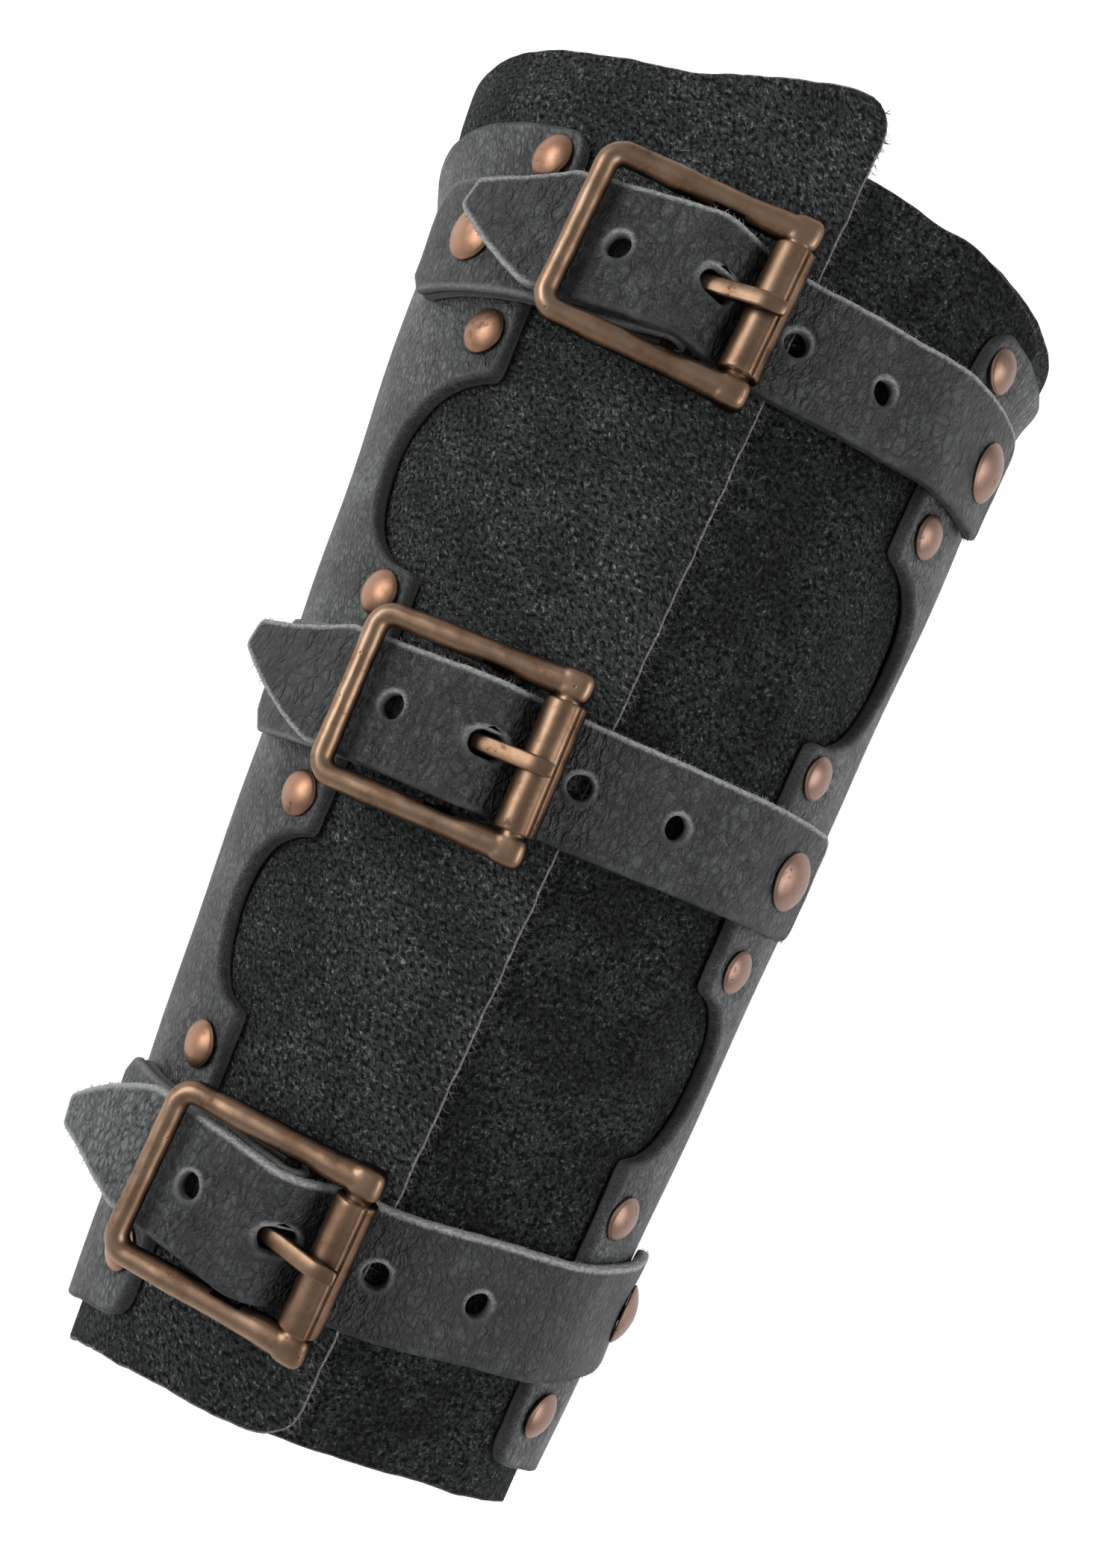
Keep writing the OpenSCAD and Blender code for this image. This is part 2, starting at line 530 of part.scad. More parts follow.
module outer_plate() color([0.24, 0.23, 0.22]) difference() {
    slab([for (r = plate_rows) [for (c = [0:plate_cols]) plate_point(r, c, plate_t)]],
        [for (r = plate_rows) [for (c = [0:plate_cols]) plate_point(r, c, 0)]]);
    translate([-oval_half_w, -2 * wrist_side, -plate_t])
        cube([2 * oval_half_w, 4 * wrist_side, plate_t]);
    post_holes(small_sites, small_post_r);
    post_holes(large_sites, large_post_r);
}

wrap_cols = concat([0, 0.01], [for (k = [1:53]) k / 54],
    [for (d = [1, 0.6, 0.3, 0.12, 0.03, 0]) 1 - d * 8 / 320]);
function wrap_edge(y) = flap_wrist
    + (flap_elbow - flap_wrist) * (y + strap_pitch) / (2 * strap_pitch);
function wrap_point(r, s, out_by) = let (
        y0 = -wrist_side + r * (wrist_side + elbow_side),
        from = phi_at(wrap_right, y0), to = 360 + phi_at(wrap_edge(y0), y0),
        phi = from + (to - from) * s,
        d = (1 - s) * 320, cut = corner_cut(d, flap_corner),
        low = wrap_wrist_y(phi) + cut, high = wrap_elbow_y(phi) - cut,
        y = low + r * (high - low))
    skin(phi, y, wrap_in(phi, y) + out_by);
wrap_rows = [for (k = [0:7]) k / 7];
module suede_wrap() color([0.17, 0.17, 0.18]) difference() {
    slab([for (r = wrap_rows) [for (s = wrap_cols) wrap_point(r, s, wrap_t)]],
        [for (r = wrap_rows) [for (s = wrap_cols) wrap_point(r, s, 0)]]);
    post_holes(small_sites, small_post_r);
    post_holes(large_sites, large_post_r);
}

tongue_span = tongue_left + tongue_right;
tongue_cols = concat([for (k = [0:16]) -tongue_left + (tongue_span - tongue_corner) * k / 16],
    [for (d = [0.6, 0.3, 0.12, 0.03, 0]) tongue_right - d * tongue_corner]);
function tongue_point(r, arc, out_by) = let (
        y0 = -wrist_side + r * (wrist_side + elbow_side), phi = -phi_at(-arc, y0),
        cut = corner_cut(tongue_right - arc, tongue_corner),
        low = wrap_wrist_y(phi) + cut,
        high = elbow_side - tongue_fall * pow(max(0, arc) / tongue_right, 2) - cut,
        y = low + r * (high - low))
    skin(phi_at(arc, y), y, tongue_in(arc) + out_by);
module suede_tongue() color([0.22, 0.22, 0.23]) difference() {
    slab([for (r = wrap_rows) [for (a = tongue_cols) tongue_point(r, a, tongue_t)]],
        [for (r = wrap_rows) [for (a = tongue_cols) tongue_point(r, a, 0)]]);
    post_holes(small_right_sites, small_post_r);
    post_holes(large_right_sites, large_post_r);
}

// Straps
module buckle_strap(i) color([0.2, 0.19, 0.18]) difference() {
    band(short_stations(i), fold_t);
    slot_w = prong_w + 1.6;
    slot_l = 2 * (eye_r + 1);
    seat(spot(i, short_turn[i], bar_c[i]), turned(i, short_turn[i])[0],
        turned(i, short_turn[i])[1], out[i])
        translate([-slot_l / 2, -slot_w / 2, -slot_l / 2]) cube([slot_l + fold_t, slot_w, slot_l]);
    post_holes([large_left_sites[i]], large_post_r);
}
module strap_hole(i, s, stretch) {
    p = at_length(holed_stations(i), s);
    w = unit(cross(p[2], p[1]));
    seat(p[0], p[1], cross(w, p[1]), w) {
        for (x = [0, stretch]) translate([x - stretch / 3, 0, -strap_t])
            cylinder(r = hole_r, h = 2 * strap_t, $fn = 40);
        if (stretch > 0) translate([-stretch / 3, -hole_r, -strap_t])
            cube([stretch, 2 * hole_r, 2 * strap_t]);
    }
}
module holed_strap(i) color([0.19, 0.18, 0.17]) difference() {
    band(holed_stations(i), strap_t);
    strap_hole(i, prong_hole_len(i), hole_stretch);
    for (k = [-2, -1, 1]) strap_hole(i, prong_hole_len(i) + k * hole_pitch, 0);
    post_holes([large_right_sites[i]], large_post_r);
}
module strap_tail(i) color([0.18, 0.17, 0.16]) band(tail_stations(i), strap_t);

// Buckles, in their own frame: X along the strap, Y across, origin on the centre bar
side_y = window_h / 2 + waist_d / 2;
lump_swell = 0.4;
lump_flat = 0.2;
bar_end = 0.55;
module in_frame(i) {
    d = turned(i, short_turn[i]);
    seat(spot(i, short_turn[i], bar_c[i]), d[0] * cos(pitch[i]) - out[i] * sin(pitch[i]), d[1],
        d[0] * sin(pitch[i]) + out[i] * cos(pitch[i])) children();
}
module cross_bar(x, z, d, l) {
    translate([x, -l / 2, z]) rotate([-90, 0, 0]) cylinder(d = d, h = l, $fn = 32);
}
module lump(d) difference() {
    rotate([90, 0, 0]) sphere(d = d, $fn = 32);
    translate([-d, d / 2 - lump_flat, -d]) cube(2 * d);
}
module side_bar(s) {
    waist_x = -2;
    translate([frame_corner - left_reach, s * side_y, bar_drop]) rotate([0, 90, 0])
        cylinder(d1 = left_bar_d, d2 = waist_d, h = left_reach - frame_corner + waist_x, $fn = 32);
    translate([waist_x, s * side_y, bar_drop]) rotate([0, 90, 0])
        cylinder(d1 = waist_d, d2 = lump_d, h = right_reach - waist_x, $fn = 32);
    translate([right_reach, s * side_y, bar_drop]) lump(lump_d + lump_swell);
}
module buckle_frame(i) color([0.55, 0.4, 0.26]) in_frame(i) {
    cross_bar(-left_reach, bar_drop, left_bar_d, 2 * (side_y - frame_corner));
    cross_bar(0, 0, centre_bar_d, 2 * (side_y + bar_end));
    cross_bar(right_reach, bar_drop, right_bar_d, 2 * side_y);
    for (s = [0, 1]) mirror([0, s, 0]) {
        translate([frame_corner - left_reach, side_y - frame_corner, bar_drop])
            rotate([0, 0, 90]) rotate_extrude(angle = 90, $fn = 48)
            translate([frame_corner, 0]) circle(d = left_bar_d, $fn = 32);
        side_bar(1);
    }
}
module roller(i) color([0.6, 0.44, 0.3]) in_frame(i) difference() {
    l = 2 * (side_y - (lump_d + lump_swell) / 2 - roller_play) + 1;
    cross_bar(right_reach, bar_drop, roller_d, l);
    cross_bar(right_reach, bar_drop, right_bar_d + 2 * run_gap, l + 2);
    translate([right_reach, -l, bar_drop - roller_seam / 2]) cube([roller_d, 2 * l, roller_seam]);
}
module prong(i) color([0.6, 0.44, 0.3]) in_frame(i) difference() {
    union() {
        cross_bar(0, 0, 2 * eye_r, prong_w);
        up = -right_of(prong_turn) * prong_t / 2;
        top = [0, prong_t / 2];
        crest = prong_c + [0, prong_r];
        translate([0, prong_w / 2, 0]) rotate([90, 0, 0]) linear_extrude(prong_w)
            polygon([prong_from - up, prong_top - up, crest - top, prong_tip - top,
                prong_tip + top, crest + top, prong_top + up, prong_from + up]);
    }
    cross_bar(0, 0, centre_bar_d + 2 * run_gap, prong_w + 2);
}

outer_plate();
suede_wrap();
suede_tongue();
buckle_strap(0);  // buckle_strap_elbow
buckle_strap(1);  // buckle_strap_middle
buckle_strap(2);  // buckle_strap_wrist
holed_strap(0);  // holed_strap_elbow
holed_strap(1);  // holed_strap_middle
holed_strap(2);  // holed_strap_wrist
strap_tail(0);  // strap_tail_elbow
strap_tail(1);  // strap_tail_middle
strap_tail(2);  // strap_tail_wrist
buckle_frame(0);  // buckle_frame_elbow
buckle_frame(1);  // buckle_frame_middle
buckle_frame(2);  // buckle_frame_wrist
roller(0);  // roller_elbow
roller(1);  // roller_middle
roller(2);  // roller_wrist
prong(0);  // prong_elbow
prong(1);  // prong_middle
prong(2);  // prong_wrist
color([0.62, 0.42, 0.3])  // small_rivet_caps
    for (s = small_sites) at_site(s) cap(small_cap_d, small_cap_h, s[2]);
color([0.5, 0.36, 0.26])  // small_rivet_posts
    for (s = small_sites) at_site(s) post(small_post_r, small_cap_d / 2 - 0.5, s[2]);
color([0.62, 0.42, 0.3])  // large_rivet_caps
    for (s = large_sites) at_site(s) cap(large_cap_d, large_cap_h, s[2]);
color([0.5, 0.36, 0.26])  // large_rivet_posts
    for (s = large_sites) at_site(s) post(large_post_r, large_cap_d / 2 - 1, s[2]);
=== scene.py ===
# %% [markdown]
# A forearm bracer: pebbled grain leather over a suede wrap, with a tongue and three buckled straps.
# The packed model is loaded first and stays fixed. Each piece below takes the place of a plain
# solid: leather needs rounded cut edges, dimples and loose fibres, and metal needs the soft joins
# of a casting. The sizes are in millimetres and are turned to metres where a mesh is made.
import math

import bpy
import numpy as np
from mathutils import Matrix, Vector
from mathutils.geometry import delaunay_2d_cdt


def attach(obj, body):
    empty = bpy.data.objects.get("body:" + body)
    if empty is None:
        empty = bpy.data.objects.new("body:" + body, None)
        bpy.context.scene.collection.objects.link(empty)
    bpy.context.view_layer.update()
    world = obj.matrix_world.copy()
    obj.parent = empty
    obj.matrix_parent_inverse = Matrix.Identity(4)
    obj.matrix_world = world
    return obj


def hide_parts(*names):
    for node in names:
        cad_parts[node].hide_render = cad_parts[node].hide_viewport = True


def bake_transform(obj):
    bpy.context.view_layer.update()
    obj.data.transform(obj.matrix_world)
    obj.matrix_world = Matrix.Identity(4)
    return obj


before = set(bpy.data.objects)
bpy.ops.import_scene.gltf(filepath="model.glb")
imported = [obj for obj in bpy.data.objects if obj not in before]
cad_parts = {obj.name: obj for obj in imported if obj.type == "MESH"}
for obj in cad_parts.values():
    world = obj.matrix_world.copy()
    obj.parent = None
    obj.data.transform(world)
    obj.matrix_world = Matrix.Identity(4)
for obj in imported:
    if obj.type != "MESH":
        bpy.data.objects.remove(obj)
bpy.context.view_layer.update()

MM = 0.001
STRAPS = ("elbow", "middle", "wrist")

# %% [markdown]
# The arm is an oval cone, and every layer of leather is a distance out from it. An arc along the
# leather and a height along the arm are all that a piece needs to be laid on it, as a maker lays a
# flat pattern on a forearm. The same values drive the packed solids.

# %% Sizes of the arm oval and the layers
OVAL_HALF_W, OVAL_TAPER, OVAL_DEPTH = 53, 0.066, 0.85
REST_FLAT = 0.5
PLATE_T, WRAP_T, TONGUE_T, LAYER_GAP = 3, 1.8, 1.6, 0.3
STRAP_PITCH, ELBOW_DROP, ELBOW_REACH, ELBOW_CROWN = 91, 2.5, 32, 11.5
PLATE_CROWN, ELBOW_DIP, FLAP_RISE, FLARE_LEFT, FLARE_RIGHT = 4.4, 5, 2.5, 5, 8
WRIST_REACH, WRIST_DIP, BACK_DROP = 45.6, 10.3, 3
ELBOW_BORDER, WRIST_BORDER = 9.5, 8
FLAP_ELBOW, FLAP_WRIST, FLAP_CORNER = 11.5, 3, 8
WRAP_RIGHT, TONGUE_LEFT, TONGUE_RIGHT = 40, 14, 67
TONGUE_CORNER, TONGUE_FALL, CLIMB = 5, 3.7, 8
TAB_LEFT, TAB_RIGHT, TAB_RIGHT_TAPER = 38.3, 45.3, 0.04
ELBOW_TAB, MIDDLE_TAB, WRIST_TAB = 26.5, 26, 31
UPPER_SCALLOP, LOWER_SCALLOP, SCALLOP_DEEP, TAB_CORNER = 19.5, 14, 0.42, 3
HOLED_END = (72, 62, 73)
STRAP_Y = np.array([STRAP_PITCH - ELBOW_DROP, 0, -STRAP_PITCH])
ELBOW_SIDE, WRIST_SIDE = STRAP_PITCH + ELBOW_REACH, STRAP_PITCH + WRIST_REACH
MID_Y = (WRIST_SIDE + BACK_DROP - ELBOW_SIDE - ELBOW_CROWN) / 2
FLAP_OUT = TONGUE_T + LAYER_GAP + WRAP_T
PLATE_IN_LEFT = WRAP_T + LAYER_GAP
PLATE_IN_RIGHT = PLATE_IN_LEFT + TONGUE_T + LAYER_GAP
LEFT_TAB_H = PLATE_IN_LEFT + PLATE_T - FLAP_OUT
RIGHT_TAB_H = PLATE_IN_RIGHT + PLATE_T - FLAP_OUT
EDGE_MARGIN, PLATE_RELAX, SPARE = 2, 12, 0.1
# Heights near which the long edges of the plate and of the wrap meet the ends.
WRIST_NEAR, PLATE_ELBOW_NEAR, FLAP_WRIST_NEAR, FLAP_ELBOW_NEAR, WRAP_ELBOW_NEAR = (
    -130.0, 113.0, -126.0, 134.0, 123.0)
print("leather stack on the left", round(PLATE_IN_LEFT + PLATE_T, 2), "mm")


# %% From an arc, a height along the arm and a height off the leather to a point
def unit(v):
    return v / np.linalg.norm(v, axis=-1, keepdims=True)


def smooth(x):
    x = np.clip(x, 0, 1)
    return x * x * (3 - 2 * x)


def half_w(y):
    return OVAL_HALF_W + OVAL_TAPER * y


def oval_z(y):
    return OVAL_DEPTH * half_w(y) + PLATE_IN_LEFT + PLATE_T - REST_FLAT


def skin(phi, y, off):
    """Point on the oval at an angle from the front, off millimetres out from the arm."""
    phi, y, off = np.broadcast_arrays(phi, y, off)
    side = np.where(np.sin(phi) > 0, FLARE_RIGHT, FLARE_LEFT)
    off = off + side * smooth((y - STRAP_PITCH - 9) / 28) * np.sin(phi) ** 2
    x = (half_w(y) + off) * np.sin(phi)
    z = oval_z(y) + (OVAL_DEPTH * half_w(y) + off) * np.cos(phi)
    return np.stack([x, MID_Y + y, z], -1)


def flat_share(y):
    return (1 - OVAL_DEPTH) * half_w(y) / (half_w(y) + FLAP_OUT)


def arc_at(phi, y):
    k = flat_share(y)
    return (half_w(y) + FLAP_OUT) * ((1 - k / 2) * phi + k / 4 * np.sin(2 * phi))


def phi_at(arc, y):
    k = flat_share(y)
    phi = 0 * (arc + y)
    for _ in range(8):
        phi = (arc / (half_w(y) + FLAP_OUT) - k / 4 * np.sin(2 * phi)) / (1 - k / 2)
    return phi


def round_dir(phi, y):
    phi, y = np.broadcast_arrays(phi, y)
    deep = OVAL_DEPTH * half_w(y) + FLAP_OUT
    return unit(np.stack([(half_w(y) + FLAP_OUT) * np.cos(phi), 0 * phi, -deep * np.sin(phi)], -1))


def long_dir(phi):
    phi = np.asarray(phi, float)
    return unit(np.stack([OVAL_TAPER * np.sin(phi), 1 + 0 * phi,
                          OVAL_DEPTH * OVAL_TAPER * (1 + np.cos(phi))], -1))


def out_dir(phi, y):
    return unit(np.cross(round_dir(phi, y), long_dir(phi)))


def lifted(arc, y, h):
    phi = phi_at(arc, y)
    return skin(phi, y, FLAP_OUT) + np.asarray(h)[..., None] * out_dir(phi, y)


print("front line at the middle strap", lifted(0.0, 0.0, 0.0).round(1))

# %% [markdown]
# The ends of the wrap follow the photographed edges: the flap rises at its elbow corner, and the
# wrist end is shorter at the front. Layers climb where they pass over the edge of another.


# %% End edges and the climbs of the layers
def wrap_elbow_y(phi, crown=ELBOW_CROWN):
    """Height of the elbow end; it is highest from the left side to the flap."""
    crown = crown * smooth((phi - math.radians(234)) / math.radians(48))
    crown = crown - ELBOW_DIP * np.exp(-(((phi - math.radians(335)) / math.radians(28)) ** 2))
    crown = crown + FLAP_RISE * smooth((phi - math.radians(345)) / math.radians(22))
    back = np.where((phi > math.pi / 2) & (phi < 1.5 * math.pi), np.cos(phi) ** 2, 0)
    return ELBOW_SIDE + crown - BACK_DROP * back


def wrap_wrist_y(phi):
    m = np.where(phi > math.pi, np.abs(phi - 2 * math.pi), np.abs(phi))
    front = np.where(m < math.pi / 2, 1 - np.minimum(m / (math.pi / 2), 1) ** 2.4, 0)
    back = np.where(m > math.pi / 2, np.cos(m) ** 2, 0)
    return -WRIST_SIDE + WRIST_DIP * front - BACK_DROP * back


def wrap_in(phi, y):
    climb = smooth((arc_at(phi - 2 * math.pi, y) + TONGUE_LEFT + EDGE_MARGIN + CLIMB) / CLIMB)
    return np.where(phi < math.pi, 0, (TONGUE_T + LAYER_GAP) * climb)


def tongue_in(arc):
    return (WRAP_T + LAYER_GAP) * smooth((arc - WRAP_RIGHT + EDGE_MARGIN + CLIMB) / CLIMB)


def plate_in(phi, y):
    near = 1 - smooth((arc_at(phi, y) - max(HOLED_END) - EDGE_MARGIN) / PLATE_RELAX)
    return np.where(phi > math.pi, PLATE_IN_LEFT,
                    PLATE_IN_LEFT + (PLATE_IN_RIGHT - PLATE_IN_LEFT) * near)


def right_edge(y):
    return TAB_RIGHT + TAB_RIGHT_TAPER * y


def scallop_at(y, ends, depth):
    m = ends[0] + SCALLOP_DEEP * (ends[1] - ends[0])
    side = np.where(y > m, ends[0] - m, m - ends[1])
    inside = (y < ends[0]) & (y > ends[1])
    return np.where(inside, depth * np.sqrt(np.maximum(0, 1 - ((y - m) / side) ** 2)), 0)


UPPER_ENDS = (STRAP_PITCH - ELBOW_TAB, MIDDLE_TAB)
LOWER_ENDS = (-MIDDLE_TAB, WRIST_TAB - STRAP_PITCH)


def scallop(y):
    return scallop_at(y, UPPER_ENDS, UPPER_SCALLOP) + scallop_at(y, LOWER_ENDS, LOWER_SCALLOP)


print("deepest scallops", UPPER_SCALLOP, LOWER_SCALLOP, "mm")

# %% [markdown]
# A strap and its buckle share a local frame at the foot of the centre bar: along the strap, across
# it and out from the leather. The strap's path is a belt round the bars, worked out from tangents:
# under the roller, over the centre bar, under the left bar, then down on the rivet of the left tab.

# %% Sizes of the straps, buckles and rivets
STRAP_W, STRAP_T, FOLD_T, PLY_GAP, OVER_GAP, TAIL_GAP = 23, 2.4, 1.8, 0.25, 0.45, 0.6
SHORT_END, PLY_STEP, TAIL_LEN, TAIL_SIDE = (68, 64.5, 61.5), 2.5, (23, 27, 28), (3, 4, -5)
TIP_W, END_CUT, HOLE_R, HOLE_PITCH, HOLE_STRETCH = 6, 4, 2.35, 19.5, 2.6
SHORT_TURN, HOLED_TURN, SWING_REACH = np.radians([-4, -2, -4.5]), np.radians([4.5, 2, 3]), 16
BAR_ARC = np.array([-8.4, -14.4, -15.8])
WINDOW_H, LEFT_REACH, RIGHT_REACH, BAR_DROP = 25.5, 22.3, 13.5, 2
LEFT_BAR_D, WAIST_D, LUMP_D, CENTRE_BAR_D, RIGHT_BAR_D = 4, 3.3, 5.5, 3, 4.8
FRAME_CORNER, ROLLER_D, ROLLER_PLAY, RUN_GAP = 3.3, 7.8, 0.5, 0.06
PRONG_W, PRONG_T, EYE_WALL, PRONG_OVER = 3.1, 1.8, 1.3, 3
REST_GAP, ROLLER_GAP, ROCK_GAP = 0.35, 0.5, 0.7
SMALL_CAP_D, SMALL_CAP_H, LARGE_CAP_D, LARGE_CAP_H = 9, 2.2, 12, 2.6
RIVET_EDGE, RIVET_HALF, LARGE_LEFT, LARGE_RIGHT = 6.3, (17.5, 20, 20), 52.5, (62, 52.5, 64)
SKIN_STEP, LOW_LIFT, HIGH_LIFT, HINGE_REACH, HINGE_GAP = 4.5, 6, 12, 4, 0.3
SIDE_Y = (WINDOW_H + WAIST_D) / 2
LARGE_LEFT_H = LEFT_TAB_H + REST_GAP + 2 * FOLD_T + PLY_GAP
LARGE_RIGHT_H = RIGHT_TAB_H + REST_GAP + STRAP_T
# The castings are a little fuller than the solids, and the caps are pressed into the leather.
CAST_SIDE_D, CAST_LEFT_D, CAST_SIDE_Y, CAST_LEFT = 4.7, 4.3, SIDE_Y + 0.9, LEFT_REACH + 0.9
CAP_SINK = 0.3
# Rings of extra points where a rivet dents a leather, and the wrist tail's painted sheen.
PLATE_RINGS, STRAP_RINGS = (1.5, 3, 4.2, 5, 5.8, 6.8, 8), (2, 4, 5.5, 6.5, 7.5)
PAINTED_SHEEN_END = 48
print("frame outside", WINDOW_H + 2 * WAIST_D, "mm across")


# %% Heights under the straps, and their turns
def short_low_h(arc):
    return REST_GAP + LEFT_TAB_H * smooth((-arc - TAB_LEFT + EDGE_MARGIN + CLIMB) / CLIMB)


def holed_low_h(arc, y):
    climb = smooth((arc - right_edge(y) + EDGE_MARGIN + 2 * CLIMB) / (2 * CLIMB))
    return REST_GAP + RIGHT_TAB_H * climb


def strap_y_at(i, arc, turn):
    return STRAP_Y[i] + (arc - BAR_ARC[i]) * math.sin(turn)


def swing(i, arc):
    """How far a holed strap has swung, past the roller, from its buckle's turn to its own."""
    return np.clip((arc - BAR_ARC[i] - RIGHT_REACH) / SWING_REACH, 0, 1)


def holed_y_at(i, arc):
    x, s, e = swing(i, arc), math.sin(SHORT_TURN[i]), math.sin(HOLED_TURN[i])
    return (STRAP_Y[i] + RIGHT_REACH * s + (arc - BAR_ARC[i] - RIGHT_REACH) * e
            + (s - e) * SWING_REACH * (x - x * x / 2))


def right_of(t):
    return np.stack([np.sin(t), -np.cos(t)], -1)


def ahead(t):
    return np.stack([np.cos(t), np.sin(t)], -1)


def turn_of(v):
    return math.atan2(v[1], v[0]) % (2 * math.pi)


def steer(p, r):
    """Turn of the line that leaves or meets a circle of radius r at the distance of p."""
    return math.asin(r / np.linalg.norm(p))


print("holed straps at their rivets, along the arm",
      [round(float(holed_y_at(i, LARGE_RIGHT[i])), 1) for i in range(3)])


# %% Buckle frame of each strap
class StrapFrame:
    """Foot, directions, bars and pitch of one strap's buckle."""

    def __init__(self, i):
        self.i = i
        phi = phi_at(BAR_ARC[i], STRAP_Y[i])
        self.foot = skin(phi, STRAP_Y[i], FLAP_OUT)
        self.out = out_dir(phi, STRAP_Y[i])
        self.along0 = round_dir(phi, STRAP_Y[i])
        self.across0 = np.cross(self.out, self.along0)
        left_turn, right_turn = self.ground_turn(-LEFT_REACH), self.ground_turn(RIGHT_REACH)
        left_arc = self.ground_arc(-LEFT_REACH - HINGE_REACH - 2)
        left_top = 2 * FOLD_T + PLY_GAP + short_low_h(left_arc)
        left_h = self.ground(-LEFT_REACH) + (
            left_top + REST_GAP + STRAP_T + ROCK_GAP + LEFT_BAR_D / 2) / math.cos(left_turn)
        right_h = self.ground(RIGHT_REACH) + (
            REST_GAP + ROLLER_GAP + STRAP_T + ROLLER_D / 2) / math.cos(right_turn)
        self.pitch = math.asin((left_h - right_h) / (LEFT_REACH + RIGHT_REACH))
        self.bar_h = right_h + RIGHT_REACH * math.sin(self.pitch) - BAR_DROP * math.cos(self.pitch)
        self.enter = math.pi + right_turn
        self.bar, self.right = self.framed(0, 0), self.framed(RIGHT_REACH, BAR_DROP)
        self.left = self.framed(-LEFT_REACH, BAR_DROP)
        under_r, over_r, left_r = UNDER_R, OVER_R, LEFT_R
        d = self.bar - self.right
        self.rise = turn_of(d) - steer(d, under_r + over_r)
        d = self.left - self.bar
        self.fall = turn_of(d) + steer(d, over_r + left_r)
        self.under_left = self.left - left_r * right_of(self.fall)
        self.hinge = self.under_left + HINGE_REACH * ahead(self.fall)

    def turned(self, t):
        return (self.along0 * math.cos(t) + self.across0 * math.sin(t),
                self.across0 * math.cos(t) - self.along0 * math.sin(t))

    def surface(self, arc):
        return lifted(arc, strap_y_at(self.i, arc, SHORT_TURN[self.i]), 0.0) - self.foot

    def ground_arc(self, u):
        arc = BAR_ARC[self.i] + u
        for _ in range(6):
            arc = arc + u - self.surface(arc) @ self.turned(SHORT_TURN[self.i])[0]
        return arc

    def ground(self, u):
        return self.surface(self.ground_arc(u)) @ self.out

    def ground_turn(self, u):
        return math.atan((self.ground(u + 1) - self.ground(u - 1)) / 2)

    def framed(self, x, z):
        c, s = math.cos(self.pitch), math.sin(self.pitch)
        return np.array([x * c + z * s, self.bar_h - x * s + z * c])

    def spot(self, t, p):
        p = np.asarray(p)
        return self.foot + p[..., :1] * self.turned(t)[0] + p[..., 1:] * self.out

    def near_point(self, arc, h, t):
        p = lifted(arc, strap_y_at(self.i, arc, SHORT_TURN[self.i]), h) - self.foot
        return np.array([p @ self.turned(t)[0], p @ self.out])

    def matrix(self):
        """Buckle frame: X along the strap, Y across, origin on the centre bar."""
        d = self.turned(SHORT_TURN[self.i])
        c, s = math.cos(self.pitch), math.sin(self.pitch)
        axes = np.stack([d[0] * c - self.out * s, d[1], d[0] * s + self.out * c], 1)
        return axes, self.spot(SHORT_TURN[self.i], self.bar)


UNDER_R = ROLLER_D / 2 + ROLLER_GAP + STRAP_T / 2
OVER_R = CENTRE_BAR_D / 2 + SPARE + FOLD_T + OVER_GAP + STRAP_T / 2
LEFT_R = LEFT_BAR_D / 2 + ROCK_GAP + STRAP_T / 2
FOLD_R = CENTRE_BAR_D / 2 + SPARE + FOLD_T / 2
FRAMES = [StrapFrame(i) for i in range(3)]
print("pitch", [round(math.degrees(f.pitch), 2) for f in FRAMES],
      "bar height", [round(f.bar_h, 2) for f in FRAMES])

# %% [markdown]
# Every leather piece is cut as a flat outline with its holes, as on a cutting mat. The pattern is
# filled with triangles, given a thickness with rounded cut edges, and only then laid in place by a
# function from pattern to space. Each point keeps its place on the pattern and its distance from
# the nearest cut, so that the grain follows the leather and the wear follows the edges. A Solidify
# modifier on a plane would be quicker, but its edges stay square and its holes can't be placed.


# %% Points and directions along a cut line
def run_length(points):
    """Length along a path, at each of its points."""
    return np.concatenate([[0], np.cumsum(np.linalg.norm(np.diff(points, axis=0), axis=1))])


def between(at, known, rows):
    """Rows of numbers, read between the places where they are known."""
    return np.stack([np.interp(at, known, rows[:, k]) for k in range(rows.shape[1])], -1)


def resample(loop, step):
    loop = np.vstack([loop, loop[:1]])
    length = run_length(loop)
    n = max(12, int(round(length[-1] / step)))
    return between(np.arange(n) * length[-1] / n, length, loop)


def circle(angles):
    return np.stack([np.cos(angles), np.sin(angles)], 1)


def anticlockwise(loop):
    x, y = loop.T
    return np.sum(x * np.roll(y, -1) - y * np.roll(x, -1)) > 0


def inward(loop, is_hole):
    d = unit(np.roll(loop, -1, 0) - np.roll(loop, 1, 0))
    n = np.stack([-d[:, 1], d[:, 0]], 1) * (1 if anticlockwise(loop) else -1)
    return -n if is_hole else n


square = np.array([[0.0, 0.0], [10, 0], [10, 10], [0, 10]])
print("a 10 mm square is", run_length(np.vstack([square, square[:1]]))[-1], "mm round")


# %% Distances from a cut line, and triangles inside it
def fill(loops, holes, points):
    """Triangles inside the first loop and outside the rest, over the loops and inner points."""
    flat = np.vstack(loops + [points]) if len(points) else np.vstack(loops)
    edges, start = [], 0
    for loop in loops:
        edges += [(start + k, start + (k + 1) % len(loop)) for k in range(len(loop))]
        start += len(loop)
    out = delaunay_2d_cdt([Vector(p) for p in flat], edges, [], 1, 1e-7, True)
    at = {}
    for new, old in enumerate(out[3]):
        for o in old:
            at.setdefault(new, o)
    tris = np.array([[at.get(v, -1) for v in f] for f in out[2]])
    tris = tris[(tris >= 0).all(1)]
    mid = flat[tris].mean(1)
    keep = inside(mid, loops[0])
    for centre, radius in holes:
        keep &= np.linalg.norm(mid - centre, axis=1) > radius
    return flat, tris[keep]


